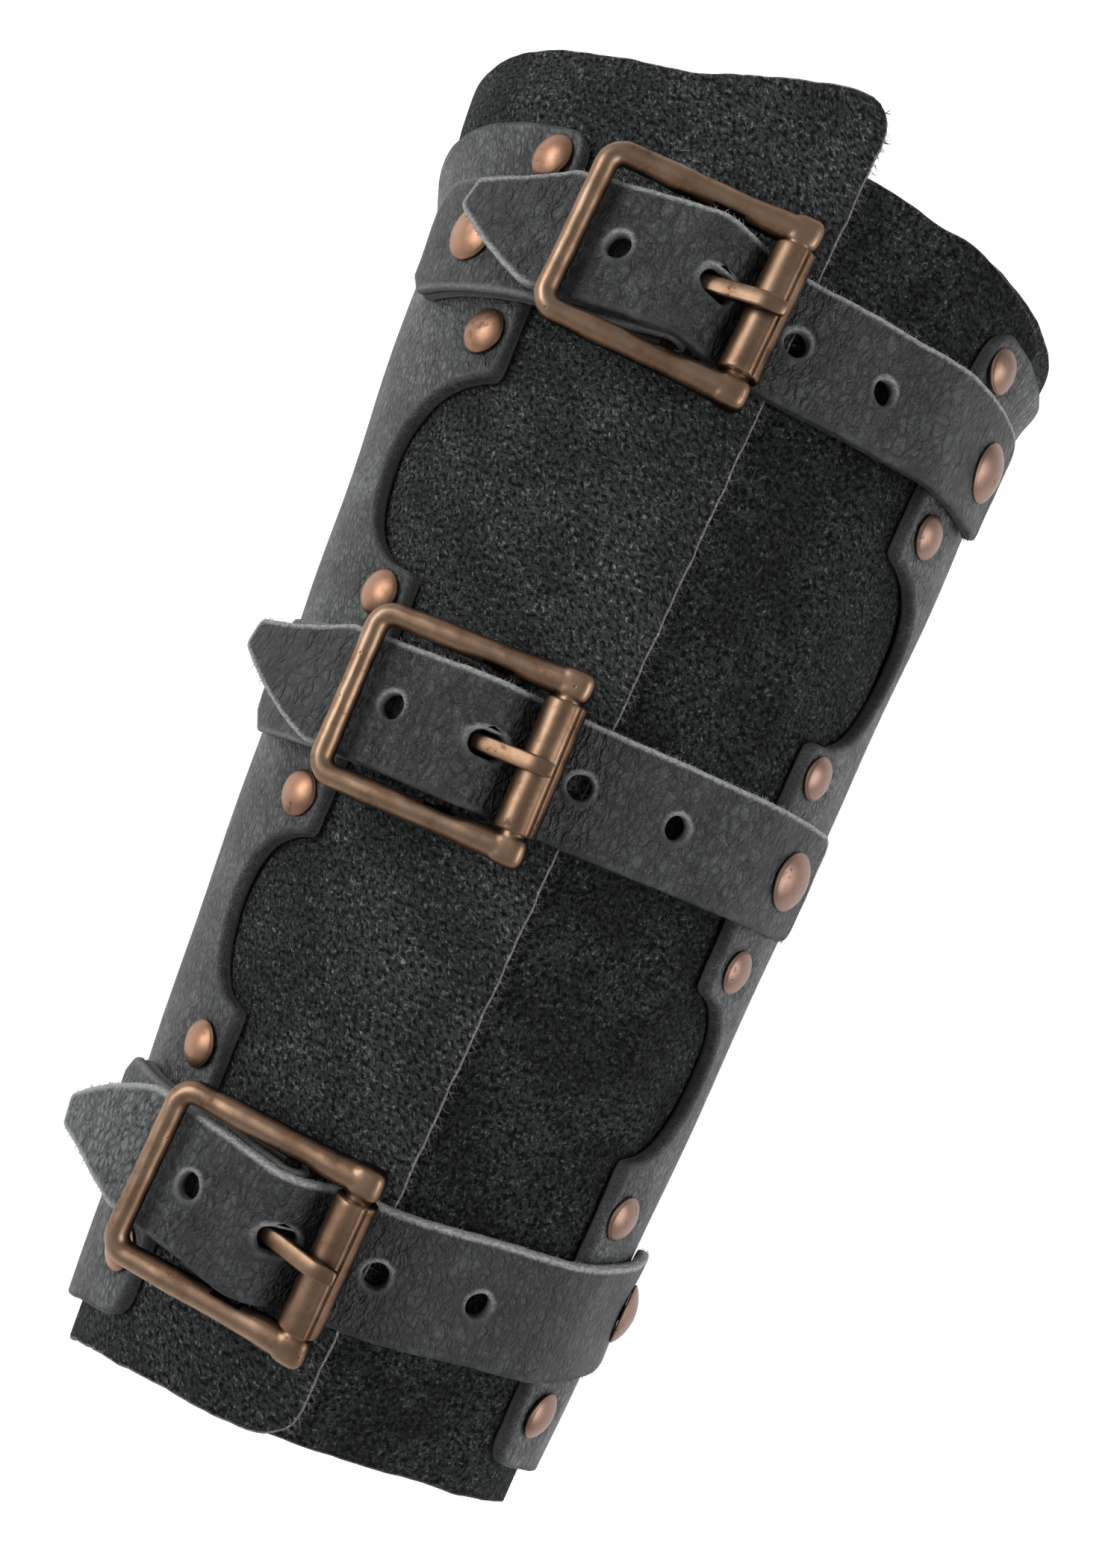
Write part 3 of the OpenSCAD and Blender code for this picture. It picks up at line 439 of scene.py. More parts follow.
def loop_distance(points, loop):
    a, b = loop, np.roll(loop, -1, 0)
    best = np.full(len(points), 1e9)
    for p, q in zip(a, b):
        d = q - p
        t = np.clip(((points - p) @ d) / max(d @ d, 1e-9), 0, 1)
        best = np.minimum(best, np.linalg.norm(points - p - t[:, None] * d, axis=1))
    return best


def inside(points, loop):
    hit = np.zeros(len(points), bool)
    for p, q in zip(loop, np.roll(loop, -1, 0)):
        cross = (p[1] > points[:, 1]) != (q[1] > points[:, 1])
        rise = np.where(q[1] == p[1], 1e-12, q[1] - p[1])
        hit ^= cross & (points[:, 0] < (q[0] - p[0]) * (points[:, 1] - p[1]) / rise + p[0])
    return hit


centre = np.array([[5.0, 5.0]])
print("its middle is inside:", inside(centre, square)[0], "and", loop_distance(centre, square)[0],
      "mm from the cut")


# %% A mesh from points and faces, and values kept on its points
def make_mesh(name, points, faces, smooth_shade=True):
    mesh = bpy.data.meshes.new(name)
    mesh.from_pydata((np.asarray(points) * MM).tolist(), [], [list(map(int, f)) for f in faces])
    mesh.update()
    if smooth_shade:
        mesh.shade_smooth()
    obj = bpy.data.objects.new(name, mesh)
    bpy.context.scene.collection.objects.link(obj)
    return obj


def put(obj, name, values):
    kind = "FLOAT" if values.ndim == 1 else "FLOAT_VECTOR"
    data = obj.data.attributes.new(name, kind, "POINT").data
    data.foreach_set("value" if values.ndim == 1 else "vector", values.astype(np.float32).ravel())


print("meshes before the first leather", len(bpy.data.meshes))

# %% [markdown]
# Where suede or a strap is cut, loose fibres stand off the edge. Hair particles could show them,
# but they aren't part of a mesh. So each fibre is a closed, tapered strand of three sides, rooted
# in the leather, with its own length, lean and curl. They stand only on cuts that face along one
# axis of the pattern: the flap's long edge, or the sides of a strap.


# %% Loose fibres on a cut edge
def frayed(loop, normal, thick, per_mm, reach, axis, first):
    """Pattern places, heights and faces of the fibres; their points are numbered from first."""
    rng = np.random.default_rng(len(loop))
    length = np.linalg.norm(loop - np.roll(loop, -1, 0), axis=1).sum()
    n, rings, sides, radius, rooted = int(length * per_mm), 4, 3, 0.075, 0.2
    k = rng.choice(np.flatnonzero(np.abs(normal[:, axis]) > 0.6), n)
    out = -normal[k]
    along = np.stack([-out[:, 1], out[:, 0]], 1)
    size = reach * rng.uniform(0.25, 1, n) ** 1.5
    lean, curl, lift = rng.uniform(-0.9, 0.9, n), rng.uniform(-1, 1, n), rng.uniform(-0.2, 0.6, n)
    root, start = loop[k] - rooted * out, thick * rng.uniform(0.3, 0.95, n)
    t = np.linspace(0, 1, rings)
    a = np.arange(sides) * 2 * math.pi / sides
    thin = radius * (1 - 0.7 * t)[:, None]
    go = size[:, None] * t
    slide = size[:, None] * (lean[:, None] * t + curl[:, None] * t * t)
    mid = root[:, None] + out[:, None] * (go + rooted)[..., None] * (t > 0)[:, None]
    mid = mid + along[:, None] * slide[..., None]
    uv = mid[:, :, None] + along[:, None, None] * (thin * np.cos(a))[None, ..., None]
    bend = start[:, None] + size[:, None] * lift[:, None] * t * t
    height = bend[..., None] + (thin * np.sin(a))[None]
    ids = first + np.arange(n * rings * sides).reshape(n, rings, sides)
    faces = []
    for s in ids.tolist():
        faces += [(s[q][j], s[q][(j + 1) % sides], s[q + 1][(j + 1) % sides], s[q + 1][j])
                  for q in range(rings - 1) for j in range(sides)]
        faces += [tuple(s[0][::-1]), tuple(s[-1])]
    return uv.reshape(-1, 2), height.ravel(), faces


tried = frayed(square, inward(square, False), 2.0, 1.0, 1.5, 0, 0)
print("fibres on the sides of the square", len(tried[2]) // 11, "with", len(tried[0]), "points")

# %% [markdown]
# A cut leather is built in this order: the outline and its holes, an even scatter of points with
# more of them round the rivets, the two faces, and the rounded edge that joins them. The scatter is
# of triangles, because a grid of squares would show steps along a scallop.


# %% Cut leather
def hole_loop(centre, radius):
    """Points round a hole; two more numbers after the centre stretch it."""
    stretch = np.array(centre[2:]) if len(centre) > 2 else np.zeros(2)
    ring = circle(np.radians(np.arange(0, 360, 12)))
    return np.array(centre[:2]) + radius * ring + stretch * np.sign(ring[:, :1]) * 0.5


def wander(n, rng):
    """Slow unevenness of a line cut by hand, at n points round a loop."""
    s = np.arange(n) * 2 * math.pi / n
    return sum(np.sin(s * f + rng.uniform(0, 6)) * a
               for f, a in ((n // 9, 0.5), (n // 5, 0.35), (n // 3, 0.3)))


def scattered(outline, seat, step, dense, rng):
    """Points over a pattern, clear of its edge and holes, with rings round the dense places."""
    lo, hi = outline.min(0), outline.max(0)
    u, v = np.meshgrid(np.arange(lo[0], hi[0], step), np.arange(lo[1], hi[1], step * 0.866))
    u[1::2] += step / 2
    grid = np.stack([u, v], -1).reshape(-1, 2)
    grid = grid + rng.uniform(-0.12, 0.12, grid.shape) * step
    extra = []
    for c, radii in dense:
        grid = grid[np.linalg.norm(grid - c, axis=1) > max(radii) + step * 0.4]
        extra += [np.array(c) + r * circle(np.arange(0, 2 * math.pi, 0.9 / r)) for r in radii]
    grid = np.vstack([grid] + extra)
    grid = grid[inside(grid, seat[0])]
    gaps = np.min([loop_distance(grid, l) for l in seat], axis=0)
    for ring in seat[1:]:
        gaps = np.where(inside(grid, ring), -1, gaps)
    return grid[gaps > step * 0.45]


def cut_leather(name, outline, place, thick, step, round_r=0.7, holes=(), rim=0.0, dense=(),
                wave=0.0, fray=None):
    """A leather piece from its outline. place(u, v, h) takes h from 0 at the inside to thick."""
    rng = np.random.default_rng(len(name) * 7 + len(holes))
    loops = [resample(np.asarray(outline, float), step * 0.75)] + [hole_loop(*h) for h in holes]
    normals = [inward(l, k > 0) for k, l in enumerate(loops)]
    if wave:
        loops = [l + n * (wander(len(l), rng) * wave)[:, None] for l, n in zip(loops, normals)]
    seat = [l + n * round_r for l, n in zip(loops, normals)]
    grid = scattered(loops[0], seat, step, dense, rng)
    flat, tris = fill(seat, [(l.mean(0), np.linalg.norm(l - l.mean(0), axis=1).min())
                             for l in seat[1:]], grid)
    area = np.cross(flat[tris[:, 1]] - flat[tris[:, 0]], flat[tris[:, 2]] - flat[tris[:, 0]])
    tris = np.where((area > 0)[:, None], tris, tris[:, ::-1])
    cut = np.min([loop_distance(flat, l) for l in loops], axis=0)
    hole_d = np.min([loop_distance(flat, l) for l in loops[1:]], axis=0) if holes else 99 + 0 * cut
    uv, height, edge, side = [], [], [], []

    def add(points, h, gap, up):
        """Keep points with their height, distance from the cut and side, and number them."""
        first = sum(len(p) for p in uv)
        uv.append(points)
        for kept, value in ((height, h), (edge, gap), (side, up)):
            kept.append(np.broadcast_to(value, len(points)))
        return np.arange(first, first + len(points))

    add(flat, thick + rim * np.exp(-((hole_d / 0.9) ** 2)), cut, 1)
    under = add(flat, 0, cut, 0)
    faces = [tris, tris[:, ::-1] + under[0]]
    angles, first = np.radians([30, 60, 90]), 0
    for k, (l, n) in enumerate(zip(loops, normals)):
        top_h = thick + (rim if k else 0)
        chain = [np.arange(first, first + len(l))]
        chain += [add(l + n * round_r * (1 - math.sin(a)),
                      top_h - round_r * (1 - math.cos(a)), 0, 1) for a in angles]
        chain.append(add(l - n * 0.06, thick * 0.5, 0, 0.5))
        chain += [add(l + n * round_r * (1 - math.sin(a)),
                      round_r * (1 - math.cos(a)), 0, 0) for a in angles[::-1]]
        chain.append(chain[0] + under[0])
        first += len(l)
        for a, b in zip(chain[:-1], chain[1:]):
            quad = np.stack([a, b, np.roll(b, -1), np.roll(a, -1)], 1)
            faces.append(quad if anticlockwise(l) != (k > 0) else quad[:, ::-1])
    strands = []
    if fray:
        pts, h, strands = frayed(loops[0], normals[0], thick, *fray, sum(len(p) for p in uv))
        add(pts, h, 0, 1)
    uv, height = np.vstack(uv), np.concatenate(height)
    faces = [tuple(f) for group in faces for f in group.tolist()] + strands
    obj = make_mesh(name, place(uv[:, 0], uv[:, 1], height), faces)
    put(obj, "pattern", np.column_stack([uv, height]) * MM)
    put(obj, "cut_mm", np.concatenate(edge))
    put(obj, "outer", np.concatenate(side))
    print(name, len(uv), "points,", len(faces), "faces")
    return obj


print("points round a punched hole", len(hole_loop((0, 0), HOLE_R)))

# %% [markdown]
# An outline is joined from its sides, and each corner is rounded with a short curve, as a knife
# goes round it. The big pieces are drawn on arc and height: an arc that passes the full girth comes
# round to the front.


# %% Join the sides of an outline with rounded corners
def trimmed(side, start, end):
    s = run_length(side)
    keep = (s > start) & (s < s[-1] - end)
    return np.vstack([between(start, s, side), side[keep], between(s[-1] - end, s, side)])


def join_sides(sides, radii):
    loop, n = [], len(sides)
    for k, side in enumerate(sides):
        part = trimmed(side, radii[k - 1], radii[k])
        nxt = sides[(k + 1) % n]
        tip = trimmed(nxt, radii[k], 0)[0]
        corner = (side[-1] + nxt[0]) / 2
        t = np.linspace(0, 1, 9)[1:-1, None]
        curve = (1 - t) ** 2 * part[-1] + 2 * t * (1 - t) * corner + t ** 2 * tip
        loop.append(np.vstack([part, curve]) if radii[k] > 0 else part)
    return np.vstack(loop)


def end_side(phi, y):
    return np.stack([arc_at(phi, y), y], 1)


def sheet_loop(low_side, top_side, left, right, step, radii):
    """Outline from a sheet's two ends and the arcs of its long edges at the heights between."""
    rise_y = np.arange(low_side[-1, 1], top_side[0, 1], step)
    fall_y = np.arange(top_side[-1, 1], low_side[0, 1], -step)
    left_side = np.stack([left(rise_y), rise_y], 1)
    right_side = np.stack([right(fall_y), fall_y], 1)
    return join_sides([low_side, left_side, top_side, right_side], radii)


def bell(reach, step):
    """Weights of a soft average at points a step apart, three reaches to each side."""
    n = int(3 * reach / step)
    return np.exp(-((np.arange(-n, n + 1) * step / reach) ** 2) / 2)


def soften(loop, step, reach):
    """Round the points where tabs meet scallops, as a knife and an edge slicker leave them."""
    fine, w = resample(loop, step), bell(reach, step)
    n = len(w) // 2
    return sum(np.roll(fine, k, 0) * wk for k, wk in zip(range(-n, n + 1), w)) / w.sum()


print("corners of a square rounded:", len(join_sides([square[[0, 1]], square[[1, 2]],
                                                      square[[2, 3]], square[[3, 0]]], [2] * 4)))


# %% Hollows, dents and rivet places
def ripple(u, v, size, seed):
    """Soft unevenness between about -1 and 1, with hollows of a given size."""
    rng = np.random.default_rng(seed)
    total = 0 * u
    for _ in range(7):
        way, shift = rng.uniform(0, 2 * math.pi, 2)
        length = size * rng.uniform(0.7, 1.8)
        run = u * math.cos(way) + v * math.sin(way)
        total = total + np.sin(run * 2 * math.pi / length + shift)
    return total / 3.2


def girth(y):
    return arc_at(2 * math.pi, y)


def wrap_edge(y):
    return FLAP_WRIST + (FLAP_ELBOW - FLAP_WRIST) * (y + STRAP_PITCH) / (2 * STRAP_PITCH)


def dips(u, v, sites, deep, wide):
    """Hollows pressed into leather round the rivets."""
    total = 0 * u
    for a, y in sites:
        d = np.hypot(u - a, v - y)
        total = total - deep * np.exp(-((d / wide) ** 4))
        total = total + 0.3 * deep * np.exp(-((d / wide - 1.5) ** 2) * 6)
    return total


# The left rivets count their arc back from the front line; the sheets count it round the arm.
LEFT_RIVET = -TAB_LEFT - RIVET_EDGE
left_rivets = [(LEFT_RIVET, strap_y_at(i, LEFT_RIVET, SHORT_TURN[i]) + s * RIVET_HALF[i])
               for i in range(3) for s in (-1, 1)]
small_left = [(girth(y) + a, y) for a, y in left_rivets]
small_right = [(a, y) for i in range(3) for s in (-1, 1)
               for a in [right_edge(STRAP_Y[i]) + RIVET_EDGE]
               for y in [holed_y_at(i, a) + s * RIVET_HALF[i]]]
print("small rivets", len(small_left) + len(small_right))

# %% [markdown]
# The outer plate is thick leather with a pebbled face. Its long edges are scalloped between the
# tabs. It is cut with slightly softened edges, dented round each rivet, and it rests on the floor
# on a narrow flat at the back.


# %% Outer plate
low_phi = np.linspace(phi_at(right_edge(WRIST_NEAR), WRIST_NEAR),
                      2 * math.pi + phi_at(-TAB_LEFT, WRIST_NEAR), 400)
top_phi = np.linspace(2 * math.pi + phi_at(-TAB_LEFT, PLATE_ELBOW_NEAR),
                      phi_at(right_edge(PLATE_ELBOW_NEAR), PLATE_ELBOW_NEAR), 400)
plate_loop = sheet_loop(end_side(low_phi, wrap_wrist_y(low_phi) + WRIST_BORDER),
                        end_side(top_phi, wrap_elbow_y(top_phi, PLATE_CROWN) - ELBOW_BORDER),
                        lambda y: girth(y) - TAB_LEFT - scallop(y),
                        lambda y: right_edge(y) + scallop(y), 0.05, [TAB_CORNER + 1] * 4)


def place_plate(u, v, h):
    phi = phi_at(u, v)
    bump = 0.22 * ripple(u, v, 38, 5) + dips(u, v, small_left + small_right, 0.55, 5.2) * (h > 1)
    points = skin(phi, v, plate_in(phi, v) + h + bump)
    points[:, 2] = np.maximum(points[:, 2], 0)
    return points


plate = cut_leather("outer_plate_leather", soften(plate_loop, 0.5, 1.1), place_plate, PLATE_T, 2.1,
                    round_r=0.8, dense=[(c, PLATE_RINGS) for c in small_left + small_right],
                    wave=0.09)

# %% [markdown]
# The wrap is suede: it goes once round the arm, shows as a border at both ends and ends in the
# flap that lies over the tongue. The tongue is a second piece of suede, tucked under the flap on
# one side and under the plate on the other.

# %% Suede wrap
low_phi = np.linspace(phi_at(WRAP_RIGHT, WRIST_NEAR),
                      2 * math.pi + phi_at(wrap_edge(FLAP_WRIST_NEAR), FLAP_WRIST_NEAR), 400)
top_phi = np.linspace(2 * math.pi + phi_at(wrap_edge(FLAP_ELBOW_NEAR), FLAP_ELBOW_NEAR),
                      phi_at(WRAP_RIGHT, WRAP_ELBOW_NEAR), 400)
wrap_loop = sheet_loop(end_side(low_phi, wrap_wrist_y(low_phi)),
                       end_side(top_phi, wrap_elbow_y(top_phi)),
                       lambda y: girth(y) + wrap_edge(y), lambda y: WRAP_RIGHT + 0 * y,
                       0.5, [FLAP_CORNER, FLAP_CORNER, 1, 1])


def place_wrap(u, v, h):
    phi = phi_at(u, v)
    free = smooth((np.maximum(v - ELBOW_SIDE + 14, -v - WRIST_SIDE + 18)) / 12)
    bump = 0.16 * ripple(u, v, 30, 8) * (0.3 + free)
    points = skin(phi, v, wrap_in(phi, v) + h + bump)
    points[:, 2] = np.maximum(points[:, 2], 0.2)
    return points


wrap = cut_leather("suede_wrap_leather", soften(wrap_loop, 0.5, 0.6), place_wrap, WRAP_T, 2.2,
                   round_r=0.55, wave=0.16, fray=(1.3, 1.7, 0))

# %% Suede tongue
across_arc = np.linspace(-TONGUE_LEFT, TONGUE_RIGHT, 160)
low_y = wrap_wrist_y(-phi_at(across_arc, WRIST_NEAR))
back_arc = across_arc[::-1]
top_y = ELBOW_SIDE - TONGUE_FALL * (np.maximum(0, back_arc) / TONGUE_RIGHT) ** 2
tongue_loop = sheet_loop(np.stack([across_arc, low_y], 1), np.stack([back_arc, top_y], 1),
                         lambda y: TONGUE_RIGHT + 0 * y, lambda y: -TONGUE_LEFT + 0 * y,
                         0.5, [TONGUE_CORNER, TONGUE_CORNER, 1, 1])


def place_tongue(u, v, h):
    bump = 0.12 * ripple(u, v, 34, 12)
    return skin(phi_at(u, v), v, tongue_in(u) + h + bump)


tongue = cut_leather("suede_tongue_leather", soften(tongue_loop, 0.5, 0.6), place_tongue, TONGUE_T,
                     2.2, round_r=0.5, wave=0.1, fray=(0.4, 1.4, 0))

for piece, node, slot_name in ((plate, "outer_plate", "grain_leather"),
                               (wrap, "suede_wrap", "suede"),
                               (tongue, "suede_tongue", "suede_tongue")):
    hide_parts(node)
    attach(piece, "bracer")

# %% [markdown]
# A strap is laid along a path of points, each with the direction across the strap. The path is
# resampled finely and smoothed, so that the leather bends and never kinks. A Curve object with a
# bevel bends as well, but it can't carry the punched holes.


# %% A path that a strap's pattern is laid along
class Belt:
    """The middle line of a strap, with the directions across it and off the leather."""

    def __init__(self, stations, soft=0.9, fine=0.4):
        p = np.array([s[0] for s in stations])
        v = np.array([s[1] for s in stations])
        s = run_length(p)
        self.u = np.linspace(0, s[-1], int(s[-1] / fine) + 1)
        self.p, self.v = between(self.u, s, p), between(self.u, s, v)
        w = bell(soft, fine)
        w /= w.sum()
        m = len(w) // 2
        first, last = self.p[1] - self.p[0], self.p[-1] - self.p[-2]
        head = self.p[0] - first * np.arange(m, 0, -1)[:, None]
        tail = self.p[-1] + last * np.arange(1, m + 1)[:, None]
        full = np.vstack([head, self.p, tail])
        self.p = np.stack([np.convolve(full[:, k], w, "valid") for k in range(3)], 1)
        t = unit(np.gradient(self.p, axis=0))
        self.v = unit(self.v - np.sum(self.v * t, 1, keepdims=True) * t)
        self.n = np.cross(self.v, t)
        self.length = self.u[-1]

    def at(self, u, rows):
        return between(u, self.u, rows)

    def nearest(self, point):
        """Length along the belt where it passes nearest to a point."""
        return float(self.u[np.argmin(np.linalg.norm(self.p - point, axis=1))])

    def lay(self, thick, shape=None):
        def place(u, v, h):
            lift = h - thick / 2 + (shape(u, v, h) if shape else 0)
            start = np.minimum(u, 0)[:, None] * unit(self.p[1] - self.p[0])
            end = np.maximum(u - self.length, 0)[:, None] * unit(self.p[-1] - self.p[-2])
            base = self.at(u, self.p) + start + end
            return base + v[:, None] * self.at(u, self.v) + lift[:, None] * self.at(u, self.n)
        return place


belt = Belt([((x, 0.0, 0.0), (0.0, 1.0, 0.0)) for x in (0, 5, 10)])
print("a straight belt of", belt.length, "mm has", len(belt.u), "points")


# %% Paths of the holed and the short straps
def across_at(arc, y, t):
    phi = phi_at(arc, y)
    return long_dir(phi) * math.cos(t) - round_dir(phi, y) * math.sin(t)


def skin_station(i, arc, h, t):
    y = strap_y_at(i, arc, t)
    return lifted(arc, y, h), across_at(arc, y, t)


def holed_station(i, arc):
    y, t = holed_y_at(i, arc), SHORT_TURN[i] + (HOLED_TURN[i] - SHORT_TURN[i]) * swing(i, arc)
    return lifted(arc, y, holed_low_h(arc, STRAP_Y[i]) + STRAP_T / 2), across_at(arc, y, t)


def belt_arc(centre, radius, start, end, n=24):
    return [centre + radius * right_of(start + (end - start) * k / n) for k in range(n + 1)]


def cap_point(f):
    """Where a tail's middle line meets the top of the rivet cap that it lies on."""
    return f.near_point(-LARGE_LEFT, LARGE_LEFT_H + SPARE + LARGE_CAP_H + TAIL_GAP + STRAP_T / 2,
                        SHORT_TURN[f.i])


TAIL_STEPS = 40


def tail_points(f):
    """Middle line of a free tail: it bends evenly down on the rivet and then runs straight."""
    k, d = cap_point(f) - f.hinge, ahead(f.fall)
    stop = k @ d
    bend = 2 * (d[0] * k[1] - d[1] * k[0]) / stop ** 2
    step = TAIL_LEN[f.i] / TAIL_STEPS
    p, out, s = f.hinge + HINGE_GAP * d, [], 0.0
    for _ in range(TAIL_STEPS + 1):
        out.append(p)
        p = p + step * ahead(f.fall + bend * min(s + step / 2, stop))
        s += step
    return out


def holed_belt(i):
    f, t = FRAMES[i], SHORT_TURN[i]
    first, last = f.ground_arc(RIGHT_REACH) + SKIN_STEP, HOLED_END[i]
    n = 40
    arcs = last + (first - last) * np.arange(n + 1) / n
    st = [holed_station(i, a) for a in arcs]
    across = f.turned(t)[1]
    inner = (belt_arc(f.right, -UNDER_R, f.enter, f.rise) + belt_arc(f.bar, OVER_R, f.rise, f.fall)
             + [f.under_left, f.hinge])
    st += [(f.spot(t, p), across) for p in inner]
    for k, p in enumerate(tail_points(f)):
        st.append((f.spot(t, p) + TAIL_SIDE[i] * (k / TAIL_STEPS) ** 2 * across, across))
    return Belt(st)


def ply(i, start, end, h, n=30):
    """Stations of one ply of a short strap, between two arcs to the left of the front line."""
    arcs = [-(start + (end - start) * k / n) for k in range(n + 1)]
    return [skin_station(i, a, short_low_h(a) + h, SHORT_TURN[i]) for a in arcs]


def short_belt(i):
    f, t = FRAMES[i], SHORT_TURN[i]
    low_end, near, far = SHORT_END[i] - PLY_STEP, -BAR_ARC[i] + LOW_LIFT, -BAR_ARC[i] + HIGH_LIFT
    top_h = 1.5 * FOLD_T + PLY_GAP
    low = f.near_point(-near, short_low_h(-near) + FOLD_T / 2, t) - f.bar
    high = f.near_point(-far, short_low_h(-far) + top_h, t) - f.bar
    start = turn_of(low) - math.pi - steer(low, FOLD_R)
    end = turn_of(high) + steer(high, FOLD_R)
    fold = [(f.spot(t, p), f.turned(t)[1]) for p in belt_arc(f.bar, FOLD_R, start, end)]
    return Belt(ply(i, low_end, near, FOLD_T / 2) + fold + ply(i, far, SHORT_END[i], top_h))


BELTS = [holed_belt(i) for i in range(3)]
FOLDS = [short_belt(i) for i in range(3)]
print("strap lengths", [round(b.length, 1) for b in BELTS], [round(b.length, 1) for b in FOLDS])

# %% [markdown]
# Each holed strap and its free tail is one piece of leather, so one mesh covers both packed nodes.
# Two meshes would show a seam when the tail moves. The prong's hole is found where the prong's
# line crosses the strap, and it is stretched by wear.

# %% Where the prong passes through the strap
EYE_R = CENTRE_BAR_D / 2 + RUN_GAP + EYE_WALL
PRONG_C = np.array([RIGHT_REACH, BAR_DROP])
PRONG_R = ROLLER_D / 2 + REST_GAP + PRONG_T / 2
EYE_MID = EYE_R - EYE_WALL / 2
PRONG_TURN = turn_of(PRONG_C) + math.asin((PRONG_R - EYE_MID) / np.linalg.norm(PRONG_C))


def prong_hole_u(i):
    f, belt = FRAMES[i], BELTS[i]
    start, end = -EYE_MID * right_of(PRONG_TURN), PRONG_C - PRONG_R * right_of(PRONG_TURN)
    a, b = f.framed(*start), f.framed(*end)
    local = belt.p - f.foot
    flat = np.stack([local @ f.turned(SHORT_TURN[i])[0], local @ f.out], 1)
    side = (b - a)[0] * (flat - a)[:, 1] - (b - a)[1] * (flat - a)[:, 0]
    near = (flat[:, 0] > 0) & (flat[:, 0] < RIGHT_REACH)
    k = np.where(near[:-1] & (side[:-1] * side[1:] <= 0))[0][0]
    return float(belt.u[k])


def hinge_u(i):
    f, belt = FRAMES[i], BELTS[i]
    return belt.nearest(f.spot(SHORT_TURN[i], f.hinge))


def right_rivet_u(i):
    y = holed_y_at(i, LARGE_RIGHT[i])
    p = lifted(float(LARGE_RIGHT[i]), y, holed_low_h(LARGE_RIGHT[i], STRAP_Y[i]) + STRAP_T / 2)
    return BELTS[i].nearest(p)


print("hinges at", [round(hinge_u(i), 1) for i in range(3)], "mm along the straps")


# %% Holed straps
def holed_strap(i):
    belt, word = BELTS[i], STRAPS[i]
    bend, end = hinge_u(i), belt.length
    taper = bend + 0.15 * (end - bend)
    w, tip = STRAP_W / 2, TIP_W / 2
    u = np.linspace(0, end, 400)
    half = np.where(u < taper, w, w + (tip - w) * (u - taper) / (end - taper))
    sag = 0.25 * ripple(u, 0 * u, 60, 20 + i)
    low = np.stack([u, -half + sag], 1)
    high = np.stack([u, half + sag], 1)[::-1]
    tip_side = np.stack([np.full(9, end), np.linspace(low[-1, 1], high[0, 1], 9)], 1)
    back = np.stack([np.zeros(30), np.linspace(w, -w, 30)], 1)
    loop = join_sides([low, tip_side, high, back], [1.2, 1.2, END_CUT, END_CUT])
    first = prong_hole_u(i)
    round_hole = lambda k: ((first + k * HOLE_PITCH, 0.15 * k), HOLE_R)
    prong_hole = ((first, 0, HOLE_STRETCH, 0), HOLE_R)
    holes = [round_hole(-2), round_hole(-1), prong_hole, round_hole(1)]
    rivet, creases = right_rivet_u(i), np.random.default_rng(50 + i).uniform(bend - 16, bend + 4, 4)

    def shape(u, v, h):
        crease = sum(0.13 * np.exp(-(((u - c) / 0.7) ** 2)) * (h > 1) for c in creases)
        press = 0.3 * np.exp(-((np.hypot(u - rivet, v) / 7) ** 4)) * (h > 1)
        lift_end = 0.8 * np.clip((rivet - 7 - u) / 6, 0, 1) ** 2
        curl = 0.12 * (np.abs(v) / w) ** 3
        return lift_end - crease - press + 0.1 * ripple(u, v, 12, 30 + i) + curl

    obj = cut_leather(f"holed_strap_{word}_leather", loop, belt.lay(STRAP_T, shape), STRAP_T, 1.1,
                      round_r=0.55, holes=holes, rim=0.22, wave=0.06,
                      dense=[((rivet, 0.0), STRAP_RINGS)], fray=(1.6, 0.75, 1))
    a, b = belt.at(np.array([bend - 2.5]), belt.p)[0], belt.at(np.array([bend + 2.5]), belt.p)[0]
    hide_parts(f"holed_strap_{word}", f"strap_tail_{word}")
    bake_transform(obj)
    return obj


holed_straps = [holed_strap(i) for i in range(3)]
print("prong holes at", [round(prong_hole_u(i), 1) for i in range(3)], "mm")

# %% [markdown]
# A short strap is folded double round the centre bar. Its pattern is one long strip with a slot
# for the prong's eye in the middle and clipped corners at the end that shows. It is cut flat and
# laid along the folded path, so the slot comes out where the fold needs it.


